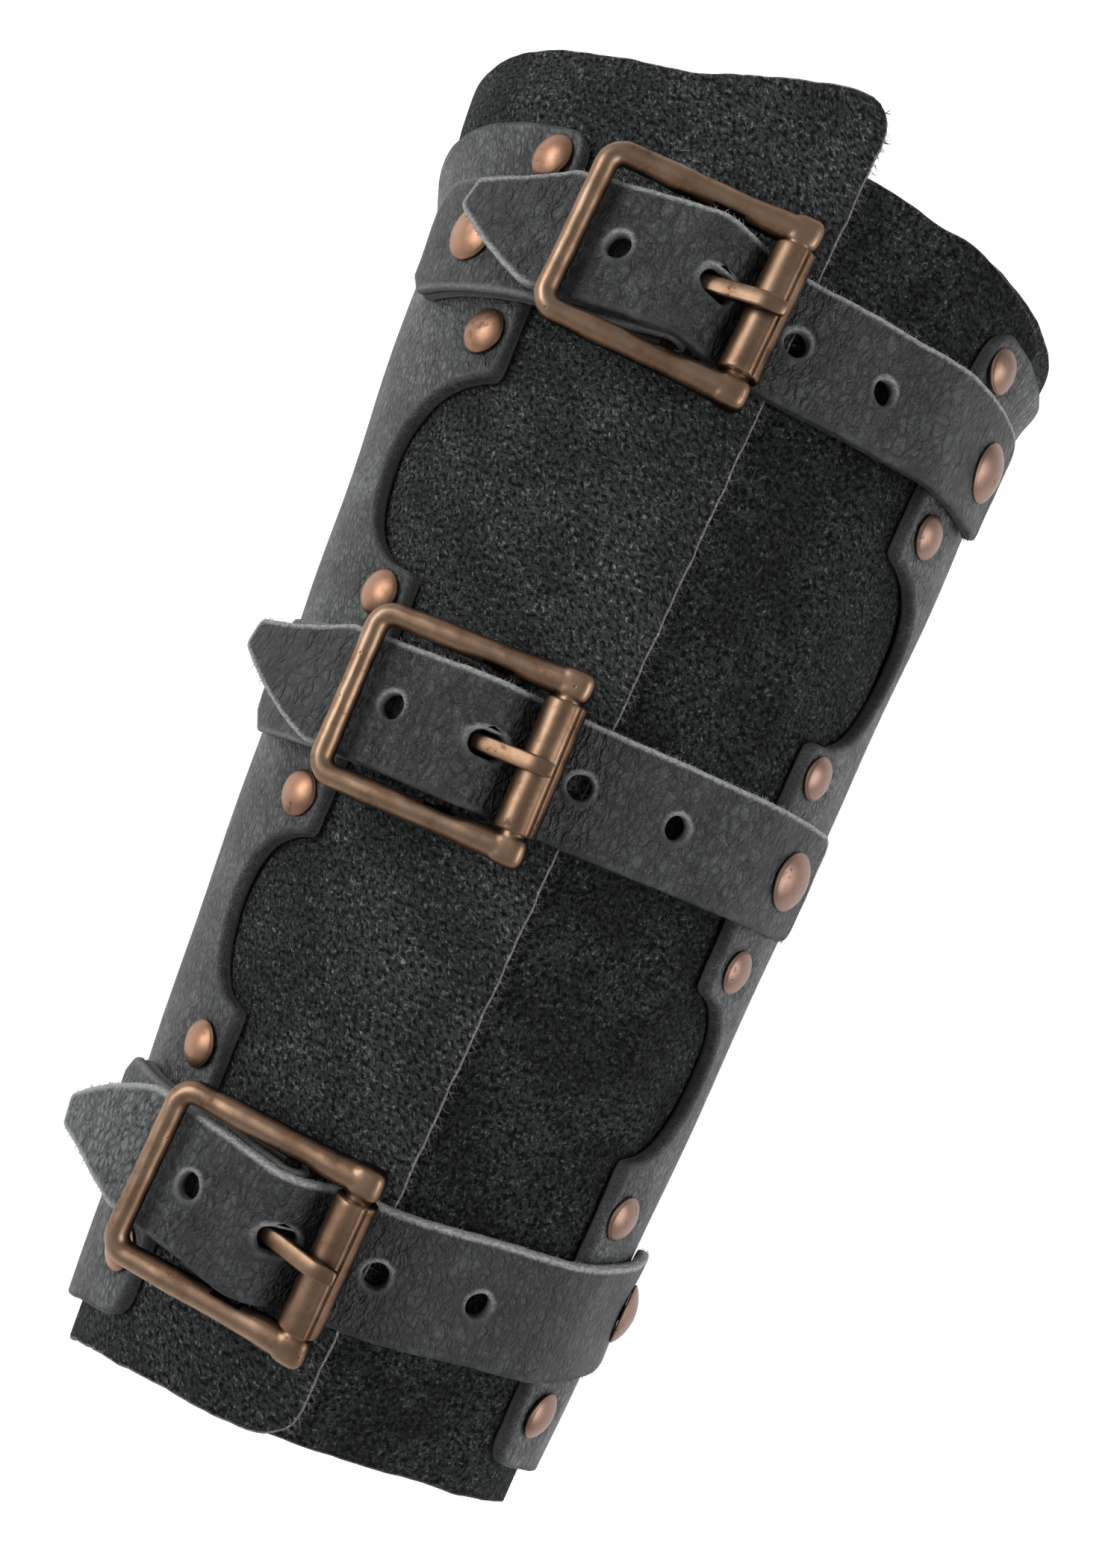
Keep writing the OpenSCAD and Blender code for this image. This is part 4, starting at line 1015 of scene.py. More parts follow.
# %% Short straps
def short_strap(i):
    belt, word = FOLDS[i], STRAPS[i]
    f = FRAMES[i]
    w, end = STRAP_W / 2, belt.length
    u = np.linspace(0, end - END_CUT, 300)
    wobble = 0.2 * ripple(u, 0 * u, 55, 60 + i)
    low = np.stack([u, -w + wobble], 1)
    high = np.stack([u, w + wobble], 1)[::-1]
    cut = np.array([[end - END_CUT, low[-1, 1]], [end, -w + END_CUT], [end, w - END_CUT],
                    [end - END_CUT, high[0, 1]]])
    tip_side = np.vstack([np.linspace(cut[k], cut[k + 1], 12) for k in range(3)])
    back = np.stack([np.zeros(30), np.linspace(high[-1, 1], low[0, 1], 30)], 1)
    loop = join_sides([low, tip_side, high, back], [0, 0, 1, 1])
    bar = f.spot(SHORT_TURN[i], f.bar)
    fold = np.linalg.norm(belt.p - bar, axis=1)
    middle = float(belt.u[np.abs(fold - fold.min()) < 0.2].mean())
    y = strap_y_at(i, -LARGE_LEFT, SHORT_TURN[i])
    top = lifted(-float(LARGE_LEFT), y, LEFT_TAB_H + REST_GAP + 1.5 * FOLD_T + PLY_GAP)
    far = np.where(belt.u > middle, np.linalg.norm(belt.p - top, axis=1), 99)
    rivet = float(belt.u[np.argmin(far)])

    def shape(u, v, h):
        press = 0.35 * np.exp(-((np.hypot(u - rivet, v) / 7) ** 4)) * (h > 1)
        return 0.1 * ripple(u, v, 12, 70 + i) * (h > 1) - press

    obj = cut_leather(f"buckle_strap_{word}_leather", loop, belt.lay(FOLD_T, shape), FOLD_T, 1.3,
                      round_r=0.45, holes=[((middle, 0, 9, 0), PRONG_W / 2 + 0.8)], wave=0.05,
                      dense=[((rivet, 0.0), STRAP_RINGS)])
    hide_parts(f"buckle_strap_{word}")
    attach(obj, "bracer")
    return obj


short_straps = [short_strap(i) for i in range(3)]
print("short straps", [round(b.length, 1) for b in FOLDS], "mm before folding")

# %% [markdown]
# Rivet caps are pressed from thin copper: a low dome with a rolled rim. A flattened sphere has no
# rim, so a lathe profile is turned round for each cap, with a faint dent, and no two are quite the
# same. The left elbow cap also has a small pressed ring.


# %% Rivet caps
def ring_faces(rows, n, first=0):
    """Faces between rows of n points round a tube, from a first point on."""
    return [(a + j, a + n + j, a + n + (j + 1) % n, a + (j + 1) % n)
            for a in range(first, first + (rows - 1) * n, n) for j in range(n)]


def closed_tube(rows, n):
    last = (rows - 1) * n
    return ring_faces(rows, n) + [tuple(range(n)), tuple(last + j for j in reversed(range(n)))]


def site_axes(a, y):
    phi = phi_at(a, y)
    w, u = out_dir(phi, y), round_dir(phi, y)
    return np.stack([u, np.cross(w, u), w], 1)


def dome_profile(d, h):
    r, edge = d / 2, 0.5
    big = (r * r + (h - edge) ** 2) / (2 * (h - edge))
    turn = math.asin((r - 0.25) / big)
    rise = [(big * math.sin(a), h - big + big * math.cos(a)) for a in np.linspace(0.02, turn, 12)]
    rim = [(r - 0.25 + 0.3 * math.cos(a), 0.3 + 0.3 * math.sin(a))
           for a in np.radians([80, 50, 20, -10, -45, -80])]
    return rise + rim + [(r - 1.2, 0.05), (r - 2.2, 0.0)]


# Painted highlight on each ring of the dome, with rubbing, falling to painted shade under the rim.
CAP_LIT_AND_RUBBED = np.concatenate([np.linspace(1, 0.7, 12), (0.6, 0.4, 0.1, -0.2, -0.5, -0.8), (-1, -1)])


def caps(name, sites, seat_h, d, h, node, ringed=()):
    points, faces, n = [], [], 56
    profile = np.array(dome_profile(d, h))
    rng = np.random.default_rng(len(sites))
    for k, (a, y) in enumerate(sites):
        axes, seat = site_axes(a, y), lifted(a, y, seat_h[k] + SPARE - CAP_SINK)
        th = np.arange(n) * 2 * math.pi / n
        way, deep = rng.uniform(0, 2 * math.pi), rng.uniform(0.03, 0.1)
        tilt = rng.uniform(-0.03, 0.03, 2)
        base = len(points)
        rings = []
        for r, z in profile:
            off_x, off_y = r * np.cos(th - way) - d / 5, r * np.sin(th - way)
            dent = -deep * np.exp(-((off_x / 1.6) ** 2 + (off_y / 1.6) ** 2))
            mark = -0.12 * math.exp(-(((r - d / 6) / 0.22) ** 2)) if k in ringed else 0.0
            x, yy = r * np.cos(th), r * np.sin(th)
            rings.append(np.stack([x, yy, z + dent + mark + tilt[0] * x + tilt[1] * yy], 1))
        top = np.array([[0, 0, rings[0][:, 2].mean()]])
        local = np.vstack([top] + rings)
        points.extend(seat + local @ axes.T)
        faces += [(base, base + 1 + j, base + 1 + (j + 1) % n) for j in range(n)]
        faces += ring_faces(len(profile), n, base + 1)
    obj = make_mesh(name, points, faces)
    put(obj, "lit_and_rubbed", np.tile(np.concatenate([[1], np.repeat(CAP_LIT_AND_RUBBED, n)]), len(sites)))
    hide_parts(node)
    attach(obj, "bracer")
    print(name, len(points), "points")
    return obj


large_sites = ([(-float(LARGE_LEFT), strap_y_at(i, -LARGE_LEFT, SHORT_TURN[i])) for i in range(3)]
               + [(float(LARGE_RIGHT[i]), holed_y_at(i, LARGE_RIGHT[i])) for i in range(3)])
small_caps = caps("small_rivet_domes", left_rivets + small_right,
                  [LEFT_TAB_H] * 6 + [RIGHT_TAB_H] * 6, SMALL_CAP_D, SMALL_CAP_H,
                  "small_rivet_caps")
large_caps = caps("large_rivet_domes", large_sites, [LARGE_LEFT_H] * 3 + [LARGE_RIGHT_H] * 3,
                  LARGE_CAP_D, LARGE_CAP_H, "large_rivet_caps", ringed=(0,))

# %% [markdown]
# The buckle frames are cast: round bars that swell into lumps at the roller's ends. Tubes are swept
# along the bars, melted together with a voxel remesh and smoothed, which leaves the soft joins of a
# casting; a Boolean union would leave hard seams there.


# %% Bars and lumps of a casting
def tube(points, radii, n=20):
    """A tube along a path in the buckle's frame, with round ends."""
    p, r = np.asarray(points, float), np.asarray(radii, float)
    t = unit(np.gradient(p, axis=0))
    side = np.array([0, 0, 1.0])
    a = unit(np.cross(t, side))
    b = np.cross(t, a)
    cap_n = 5
    head = [(p[0] - t[0] * r[0] * math.sin(c), r[0] * math.cos(c), 0)
            for c in np.linspace(1.5, 0.2, cap_n)]
    tail = [(p[-1] + t[-1] * r[-1] * math.sin(c), r[-1] * math.cos(c), -1)
            for c in np.linspace(0.2, 1.5, cap_n)]
    th = np.arange(n) * 2 * math.pi / n
    rings = head + [(p[k], r[k], k) for k in range(len(p))] + tail
    verts = [c + rr * (np.cos(th)[:, None] * a[k] + np.sin(th)[:, None] * b[k])
             for c, rr, k in rings]
    return np.vstack(verts), closed_tube(len(rings), n)


def frame_outline():
    """Middle line and radius of the frame's outer loop, from lump to lump."""
    left, corner = -CAST_LEFT, FRAME_CORNER
    pts, rad = [], []
    for x in np.linspace(RIGHT_REACH, left + corner, 50):
        pts.append((x, -CAST_SIDE_Y, BAR_DROP))
        lump = (LUMP_D - CAST_SIDE_D) * smooth((x - 1) / 11)
        waist = (CAST_LEFT_D - CAST_SIDE_D) * smooth((-12 - x) / 6)
        rad.append((CAST_SIDE_D + (lump + waist)) / 2)
    for a in np.radians(np.linspace(-90, -180, 14))[1:]:
        pts.append((left + corner + corner * math.cos(a),
                    -CAST_SIDE_Y + corner + corner * math.sin(a), BAR_DROP))
        rad.append(CAST_LEFT_D / 2)
    half = CAST_SIDE_Y - corner
    for y in np.linspace(-half, 0, 10)[1:]:
        pts.append((left, y, BAR_DROP))
        rad.append(CAST_LEFT_D / 2 - 0.1 * math.cos(y * math.pi / 2 / half))
    mirror_pts = [(x, -y, z) for x, y, z in pts[-2::-1]]
    return np.array(pts + mirror_pts), np.array(rad + rad[-2::-1])


def lug(s):
    """A cube with soft edges where a side bar meets the roller bar."""
    soft, n = 0.62, 28
    p, t = np.meshgrid(np.linspace(-1.5, 1.5, n), np.arange(n) * 2 * math.pi / n, indexing="ij")
    bulge = lambda v: np.sign(v) * np.abs(v) ** soft
    half = np.array([LUMP_D / 2 + 0.5, LUMP_D / 2 + 0.25, LUMP_D / 2])
    cube = np.stack([bulge(np.cos(p) * np.cos(t)), bulge(np.cos(p) * np.sin(t)),
                     bulge(np.sin(p))], 2)
    verts = cube.reshape(-1, 3) * half + (RIGHT_REACH + 0.2, s * (CAST_SIDE_Y + 0.05), BAR_DROP)
    faces = [(q * n + j, q * n + (j + 1) % n, q * n + n + (j + 1) % n, q * n + n + j)
             for q in range(n - 1) for j in range(n)]
    return verts, faces + [tuple(reversed(range(n))), tuple((n - 1) * n + j for j in range(n))]


print("outer loop of a frame", round(run_length(frame_outline()[0])[-1], 1), "mm long")


# %% Buckle frames
def placed(i, local):
    axes, origin = FRAMES[i].matrix()
    return origin + np.asarray(local) @ axes.T


def merge(parts):
    verts, faces, n = [], [], 0
    for v, f in parts:
        verts.append(v)
        faces += [tuple(k + n for k in q) for q in f]
        n += len(v)
    return np.vstack(verts), faces


def bake_modifiers(obj):
    graph = bpy.context.evaluated_depsgraph_get()
    mesh = bpy.data.meshes.new_from_object(obj.evaluated_get(graph))
    obj.modifiers.clear()
    obj.data = mesh
    mesh.shade_smooth()


def read(obj, name):
    """A vector that a mesh keeps for each of its points."""
    values = np.zeros(len(obj.data.vertices) * 3)
    obj.data.vertices.foreach_get(name, values)
    return values.reshape(-1, 3)


def buckle_frame(i):
    word = STRAPS[i]
    bar = lambda x, z, d, l: tube([(x, y, z) for y in np.linspace(-l / 2, l / 2, 12)], [d / 2] * 12)
    verts, faces = merge([tube(*frame_outline()),
                          bar(0, 0.1, CENTRE_BAR_D, 2 * CAST_SIDE_Y + 0.6),
                          bar(RIGHT_REACH, BAR_DROP, RIGHT_BAR_D, 2 * CAST_SIDE_Y),
                          lug(-1), lug(1)])
    obj = make_mesh(f"buckle_frame_{word}_cast", verts, faces)
    m = obj.modifiers.new("melt", "REMESH")
    m.mode, m.voxel_size, m.use_smooth_shade = "VOXEL", 0.27 * MM, True
    m = obj.modifiers.new("soften", "SMOOTH")
    m.factor, m.iterations = 0.5, 6
    bake_modifiers(obj)
    co, normal = read(obj, "co") / MM, read(obj, "normal")
    x, y, z = co.T
    lump = (0.05 * ripple(x + 0.7 * z, y - 0.5 * z, 7, 90 + i)
            + 0.02 * ripple(z + 0.3 * x, x + y, 4, 94 + i))
    local = co + normal * lump[:, None]
    # Painted highlight on faces turned out, painted shade on the sides and on the bar under the
    # strap.
    hidden = (np.abs(x) < 3) & (np.abs(y) < CAST_SIDE_Y - 1.7)
    put(obj, "lit_and_rubbed", normal[:, 2] - 1.2 * hidden)
    obj.data.vertices.foreach_set("co", (placed(i, local) * MM).ravel())
    obj.data.update()
    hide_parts(f"buckle_frame_{word}")
    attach(obj, f"buckle_{word}")
    print(obj.name, len(co), "points")
    return obj


cast_frames = [buckle_frame(i) for i in range(3)]


# %% [markdown]
# A roller is a sheet rolled up into a sleeve, so it has a seam and turned edges. It is a lathe
# shape whose radius dips at the seam, which keeps it one closed skin with the bore inside.


# %% Rollers
def roller(i):
    word, n = STRAPS[i], 160
    half, inner = CAST_SIDE_Y - (LUMP_D + 0.4) / 2 - ROLLER_PLAY + 0.3, RIGHT_BAR_D / 2 + RUN_GAP
    th = np.arange(n) * 2 * math.pi / n
    seam = math.radians((52, 40, 47)[i])
    d = (th - seam + math.pi) % (2 * math.pi) - math.pi
    notch = 0.5 * np.exp(-((d / 0.07) ** 2)) - 0.1 * np.exp(-(((d - 0.16) / 0.12) ** 2))
    flatten = 0.05 * np.cos(2 * th + i)
    r, lip = ROLLER_D / 2, 0.45
    ends = [(half - lip * (1 - math.sin(a)), r - lip * (1 - math.cos(a)))
            for a in np.radians([0, 25, 50, 75, 90])]
    body = [(y, r) for y in np.linspace(-half + 1.2, half - 1.2, 14)]
    profile = [(-y, q) for y, q in reversed(ends)] + body + ends
    profile += [(half, inner + 0.15), (half - 0.4, inner),
                (-half + 0.4, inner), (-half, inner + 0.15)]
    rings = []
    for y, q in profile:
        if q > inner + 0.3:
            q = q - notch + flatten + 0.04 * ripple(np.full(n, y), th * 4, 7, 110 + i)
        rings.append(np.stack([RIGHT_REACH + q * np.cos(th), np.full(n, y),
                               BAR_DROP + q * np.sin(th)], 1))
    m = len(rings)
    faces = [(a + j, a + (j + 1) % n, b + (j + 1) % n, b + j)
             for a, b in [(q * n, (q + 1) % m * n) for q in range(m)] for j in range(n)]
    obj = make_mesh(f"roller_{word}_rolled", placed(i, np.vstack(rings)), faces)
    # Painted highlight along the roller's top, painted shade under it.
    put(obj, "lit_and_rubbed", np.tile(np.sin(th), m))
    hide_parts(f"roller_{word}")
    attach(obj, f"roller_{word}")
    return obj


rollers = [roller(i) for i in range(3)]
print("rollers", [r.name for r in rollers])

# %% [markdown]
# A prong is a flat strip bent into an eye round the centre bar, with its end lying on the roller. A
# section is swept along that line, so the strip keeps its flat top, its soft edges and its width.

# %% Prongs
# Section of the prong's strip, in shares of half its width and half its thickness.
PRONG_SECTION = ((1, .55), (.93, .86), (.75, 1), (0, 1.04), (-.75, 1), (-.93, .86), (-1, .55),
                 (-1, -.55), (-.93, -.86), (-.75, -1), (0, -1), (.75, -1), (.93, -.86), (1, -.55))


def prong(i):
    word = STRAPS[i]
    turn_end = math.radians(-5)
    eye = [-EYE_MID * right_of(a)
           for a in np.linspace(PRONG_TURN + math.radians(285), PRONG_TURN, 40)]
    top = [PRONG_C - PRONG_R * right_of(a) for a in np.linspace(PRONG_TURN, turn_end, 12)]
    tip = top[-1] + ahead(turn_end) * (PRONG_OVER - (top[-1] - PRONG_C)[0])
    shank = [eye[-1] + (top[0] - eye[-1]) * t for t in np.linspace(0, 1, 8)[1:-1]]
    line = np.array(eye + shank + top + [top[-1] + (tip - top[-1]) * t for t in (0.5, 0.9, 1)])
    s = run_length(line)
    t = unit(np.gradient(line, axis=0))
    up = np.stack([-t[:, 1], t[:, 0]], 1)
    eye_len = s[len(eye) - 1]
    thick = EYE_WALL + (PRONG_T - EYE_WALL) * smooth((s - eye_len) / 4)
    width = PRONG_W - 0.25 * smooth((s - s[-1] + 6) / 6)
    shrink = 1 - 0.3 * smooth((s - s[-1] + 0.5) / 0.5)
    rings = []
    for k in range(len(line)):
        y = np.array([c * width[k] / 2 * shrink[k] for c, _ in PRONG_SECTION])
        h = np.array([d * thick[k] / 2 * shrink[k] for _, d in PRONG_SECTION])
        xz = line[k] + h[:, None] * up[k]
        rings.append(np.stack([xz[:, 0], y, xz[:, 1]], 1))
    faces = closed_tube(len(rings), len(PRONG_SECTION))
    obj = make_mesh(f"prong_{word}_bent", placed(i, np.vstack(rings)), faces)
    # Painted highlight on the prong's top face, painted shade under it.
    put(obj, "lit_and_rubbed", np.tile([0.75 * d for _, d in PRONG_SECTION], len(line)))
    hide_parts(f"prong_{word}")
    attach(obj, f"prong_{word}")
    return obj


prongs = [prong(i) for i in range(3)]
print("prong turn", round(math.degrees(PRONG_TURN), 1), "degrees")

# %% [markdown]
# A finish is a network of nodes. Two small classes keep it readable: a Wire is a node's output, and
# sums and products of wires add the Math nodes, so that the maths reads like ordinary Python. A
# Finish makes any other node from its type, its settings and its sockets.


# %% Shader maths as Python
class Wire:
    """An output socket; arithmetic on it adds Math nodes to its finish."""

    def __init__(self, finish, socket):
        self.finish, self.socket = finish, socket

    def __getitem__(self, name):
        return Wire(self.finish, self.socket.node.outputs[name])

    def math(self, operation, a, b):
        return self.finish.node("Math", {"operation": operation}, {0: a, 1: b})

    def __add__(self, other):
        return self.math("ADD", self, other)

    def __sub__(self, other):
        return self.math("SUBTRACT", self, other)

    def __rsub__(self, other):
        return self.math("SUBTRACT", other, self)

    def __mul__(self, other):
        return self.math("MULTIPLY", self, other)

    def clip(self, low, high):
        return self.math("MINIMUM", self.math("MAXIMUM", self, low), high)

    __radd__, __rmul__ = __add__, __mul__


print("a wire knows", [name for name in vars(Wire) if callable(vars(Wire)[name])])


# %% Finishes made of nodes
class Finish:
    """A material, or the sky, made of nodes."""

    def __init__(self, name, tree=None):
        if tree is None:
            self.material = bpy.data.materials.new(name)
            self.material.use_nodes = True
            tree = self.material.node_tree
        self.tree = tree
        tree.nodes.clear()

    def node(self, kind, settings={}, sockets={}, out=0):
        made = self.tree.nodes.new("ShaderNode" + kind)
        for key, value in settings.items():
            if key == "stops":
                slots = made.color_ramp.elements
                for k, (place, colour) in enumerate(value):
                    slot = slots[k] if k < 2 else slots.new(place)
                    slot.position, slot.color = place, colour
            else:
                setattr(made, key, value)
        for key, value in sockets.items():
            if isinstance(value, Wire):
                self.tree.links.new(value.socket, made.inputs[key])
            else:
                made.inputs[key].default_value = value
        return Wire(self, made.outputs[out]) if len(made.outputs) else None

    def mix(self, factor, a, b):
        return self.node("Mix", {"data_type": "RGBA"}, {0: factor, 6: a, 7: b}, 2)

    def fade(self, value, low, high):
        """0 at low, 1 at high and a smooth step between; low may be the larger."""
        return self.node("MapRange", {"interpolation_type": "SMOOTHSTEP"},
                         {0: value, 1: low, 2: high})

    def stretched(self, where, scale):
        return self.node("VectorMath", {"operation": "MULTIPLY"}, {0: where, 1: scale})

    def noise(self, where, size, detail=3.0, rough=0.6):
        return self.node("TexNoise", {},
                         {"Vector": where, "Scale": 1 / (size * MM), "Detail": detail,
                          "Roughness": rough})

    def swirled(self, where, size, reach):
        """Places pushed about by a noise, so that no line of the grain runs straight."""
        push = self.stretched(self.noise(where, size, 2.0)["Color"], (reach * MM, reach * MM, 0))
        return self.node("VectorMath", {"operation": "ADD"}, {0: where, 1: push})

    def cells(self, where, size, feature="F1"):
        return self.node("TexVoronoi", {"feature": feature},
                         {"Vector": where, "Scale": 1 / (size * MM)})["Distance"]

    def attribute(self, name, out="Fac"):
        return self.node("Attribute", {"attribute_name": name})[out]

    def principled(self, height, sockets):
        """The surface shader, with a height in millimetres as its bump."""
        normal = self.node("Bump", {}, {"Strength": 1.0, "Distance": MM, "Height": height})
        self.surface(self.node("BsdfPrincipled", {}, {"Normal": normal, **sockets}))

    def surface(self, shader):
        self.node("OutputMaterial", {}, {0: shader})

    def dress(self, *objects):
        for obj in objects:
            obj.data.materials.clear()
            obj.data.materials.append(self.material)


def paint(r, g, b):
    """A colour given in screen values from 0 to 255."""
    return tuple(((c / 255 + 0.055) / 1.055) ** 2.4 if c > 10 else c / 3295
                 for c in (r, g, b)) + (1,)


print("mid grey", [round(c, 3) for c in paint(128, 128, 128)])

# %% [markdown]
# Grain leather shows pebbles parted by fine creases, pores, and slow changes of tone where hands
# and wax have been. The tops of the pebbles get a painted highlight, and the creases and long
# folds a painted shade. All of it follows the pattern that the piece was cut from, so the grain
# bends with the leather. Near a cut the grain is pressed smooth and the raw fibres show lighter;
# on a holed strap they show only on one long edge and on the tail, and the other long edge keeps
# the dark tone as painted shade. The straps use the same finish with their own sizes of grain;
# the wrist strap has the deepest pores, and its tail has a painted sheen, lighter grey with dark
# dots. raw_from and the start of the painted sheen are lengths along a strap.


# %% Grain leather
def leather(name, tone, pale_tone_and_highlight, edge, pebble, crease, pore, wear, raw_from=0, painted_sheen_from=0):
    f = Finish(name)
    where = f.attribute("pattern", "Vector")
    cut, outer = f.attribute("cut_mm"), f.attribute("outer")
    ways = f.node("SeparateXYZ", {}, {0: where})
    fine = f.noise(where, 0.32, 3.0, 0.7)
    warped = f.swirled(where, 2.6, 1.6)
    ridge = f.fade(f.cells(f.stretched(warped, (1, 0.6, 1)), pebble, "DISTANCE_TO_EDGE"), 0.0, 0.26)
    small = f.fade(f.cells(warped, pebble * 0.45, "DISTANCE_TO_EDGE"), 0.0, 0.2)
    dash = f.fade(f.noise(f.stretched(warped, (1, 0.3, 1)), pebble * 0.6, 2.0, 0.5), 0.56, 0.64)
    dash = dash * f.fade(f.noise(where, 6, 2.0), 0.4, 0.56)
    long_fold = f.noise(f.stretched(warped, (1, 0.4, 1)), 3.8, 3.0, 0.5)
    lines = f.fade(long_fold, 0.465, 0.5) * f.fade(long_fold, 0.535, 0.5)
    face = f.fade(cut, 0.5, 1.6) * f.fade(outer, 0.6, 0.9)
    height = face * (ridge * crease + small * (crease * 0.4) - dash * pore - lines * (crease * 1.2))
    height = height + fine * 0.06 + f.noise(where, 4.5, 2.0) * 0.2
    top = 1.0
    # Painted shade: on a holed strap only one long edge and the tail get the raw colour; the other
    # long edge keeps the dark tone.
    if raw_from:
        top = (f.fade(ways["Y"], -0.004, 0.006)
               + f.fade(ways["X"], (raw_from - 6) * MM, raw_from * MM)).clip(0, 1)
    fuzz = f.noise(where, 0.8, 3.0) - 0.5
    raw = f.fade(cut + fuzz * 1.2, 1.3, 0.4) * top
    back = f.fade(outer, 0.45, 0.2)
    worn = f.fade(f.noise(where, 9, 2.0) * 0.5 + f.noise(where, 1.6, 4.0) * 0.5, 0.42, 0.66) * wear
    colour = f.mix(worn, tone, pale_tone_and_highlight)
    # Painted sheen: the wrist strap's tail is painted lighter grey, with the dark dots of its
    # pores.
    if painted_sheen_from:
        painted_sheen = f.fade(ways["X"], painted_sheen_from * MM, (painted_sheen_from + 24) * MM)
        colour = f.mix(painted_sheen * 0.7, colour, paint(122, 126, 127))
        dots = f.fade(f.cells(warped, 1.25), 0.36, 0.24) * painted_sheen
        dash = (dash + dots).clip(0, 1)
    # Painted highlight: the tops of the pebbles are painted in the pale tone. Painted shade: the
    # creases and long folds are painted near black.
    colour = f.mix(f.fade(small * ridge, 0.5, 1.0) * 0.28 * face, colour, pale_tone_and_highlight)
    colour = f.mix((1 - ridge) * 0.7 * face, colour, paint(13, 14, 14))
    colour = f.mix(lines * 0.45 * face, colour, paint(11, 12, 12))
    colour = f.mix(dash * 0.85 * face, colour, paint(8, 8, 8))
    streak = f.fade(f.noise(f.stretched(where, (0.5, 1, 1)), 0.4, 4.0, 0.7), 0.38, 0.62)
    colour = f.mix(raw * (0.45 + streak * 0.55), colour, edge)
    colour = f.mix(back * 0.8, colour, paint(62, 60, 57))
    rough = 0.46 + fine * 0.2 - worn * 0.08 + (1 - face) * 0.16 + back * 0.1
    f.principled(height, {"Base Color": colour, "Roughness": rough, "Specular IOR Level": 0.5})
    return f


RAW_EDGE = paint(160, 162, 160)
GRAINS = ((2.0, 0.15, 0.08), (1.7, 0.15, 0.12), (1.3, 0.12, 0.18))
PAINTED_SHEEN_STARTS = (0, 0, BELTS[2].length - PAINTED_SHEEN_END)
leather("grain_leather", paint(58, 60, 61), paint(104, 107, 108), paint(18, 18, 19),
        1.2, 0.15, 0.18, 0.8).dress(plate)
for k in range(3):
    leather(f"holed_strap_leather_{STRAPS[k]}", paint(27, 29, 30), paint(74, 77, 78), RAW_EDGE,
            *GRAINS[k], 0.6, BELTS[k].length - TAIL_LEN[k] + 4, PAINTED_SHEEN_STARTS[k]).dress(holed_straps[k])
leather("short_strap_leather", paint(46, 48, 49), paint(90, 93, 94), paint(105, 107, 105),
        1.2, 0.12, 0.14, 0.8).dress(*short_straps)
print("materials so far", len(bpy.data.materials))

# %% [markdown]
# Suede is the split flesh side: a nap of short fibres that lie in drifts, dark where they lean
# away and flecked where single fibres catch the light. A fine stretched noise in two directions
# gives the fibres and a slower one the drifts. The cut edge is pale, because the dye has not gone
# in.


# %% Suede
def suede(name, tone, fleck, edge, drift_share):
    f = Finish(name)
    where, cut = f.attribute("pattern", "Vector"), f.attribute("cut_mm")
    swirl = f.swirled(where, 2.4, 2)
    long_way = f.noise(f.stretched(swirl, (1, 0.45, 1)), 0.42, 3.0, 0.7)
    cross_way = f.noise(f.stretched(swirl, (0.5, 1, 1)), 0.5, 3.0, 0.7)
    mottle = f.noise(where, 0.9, 3.0, 0.6)
    drift = f.noise(where, 16, 2.0)
    hairs = f.fade(long_way * 0.55 + cross_way * 0.45, 0.52, 0.66)
    tufts = f.fade(mottle, 0.36, 0.62)
    colour = f.mix(tufts * 0.5, tone, f.mix(0.35, tone, fleck))
    colour = f.mix(hairs * (0.35 + tufts * 0.65), colour, fleck)
    colour = f.mix(f.fade(drift, 0.42, 0.6) * drift_share, colour, paint(12, 12, 13))
    raw = f.fade(cut + (f.noise(where, 0.7, 3.0) - 0.5) * 0.9, 0.5, 0.08)
    colour = f.mix(raw * (0.35 + hairs * 0.65), colour, edge)
    height = long_way * 0.3 + cross_way * 0.26 + mottle * 0.3 + drift * 0.3
    f.principled(height, {"Base Color": colour, "Roughness": 0.88 + hairs * 0.08,
                          "Specular IOR Level": 0.08})
    return f


suede("suede", paint(11, 12, 13), paint(138, 142, 142), paint(178, 178, 174), 0.35).dress(wrap)
suede("tongue_suede", paint(6, 7, 8), paint(108, 112, 112), paint(120, 120, 117),
      0.45).dress(tongue)
print("suede finishes on", wrap.name, "and", tongue.name)

# %% [markdown]
# The buckles are plated with antique bronze, with a few pits from the casting. Faces that turn up
# and out get a painted highlight, with some real rubbing there too; sides, undersides and the bar
# under the strap get painted shade, with patina in the hollows. The rivets are plain copper; the
# left row is brighter and the right row has gone pinkish brown, so its tone follows the place.


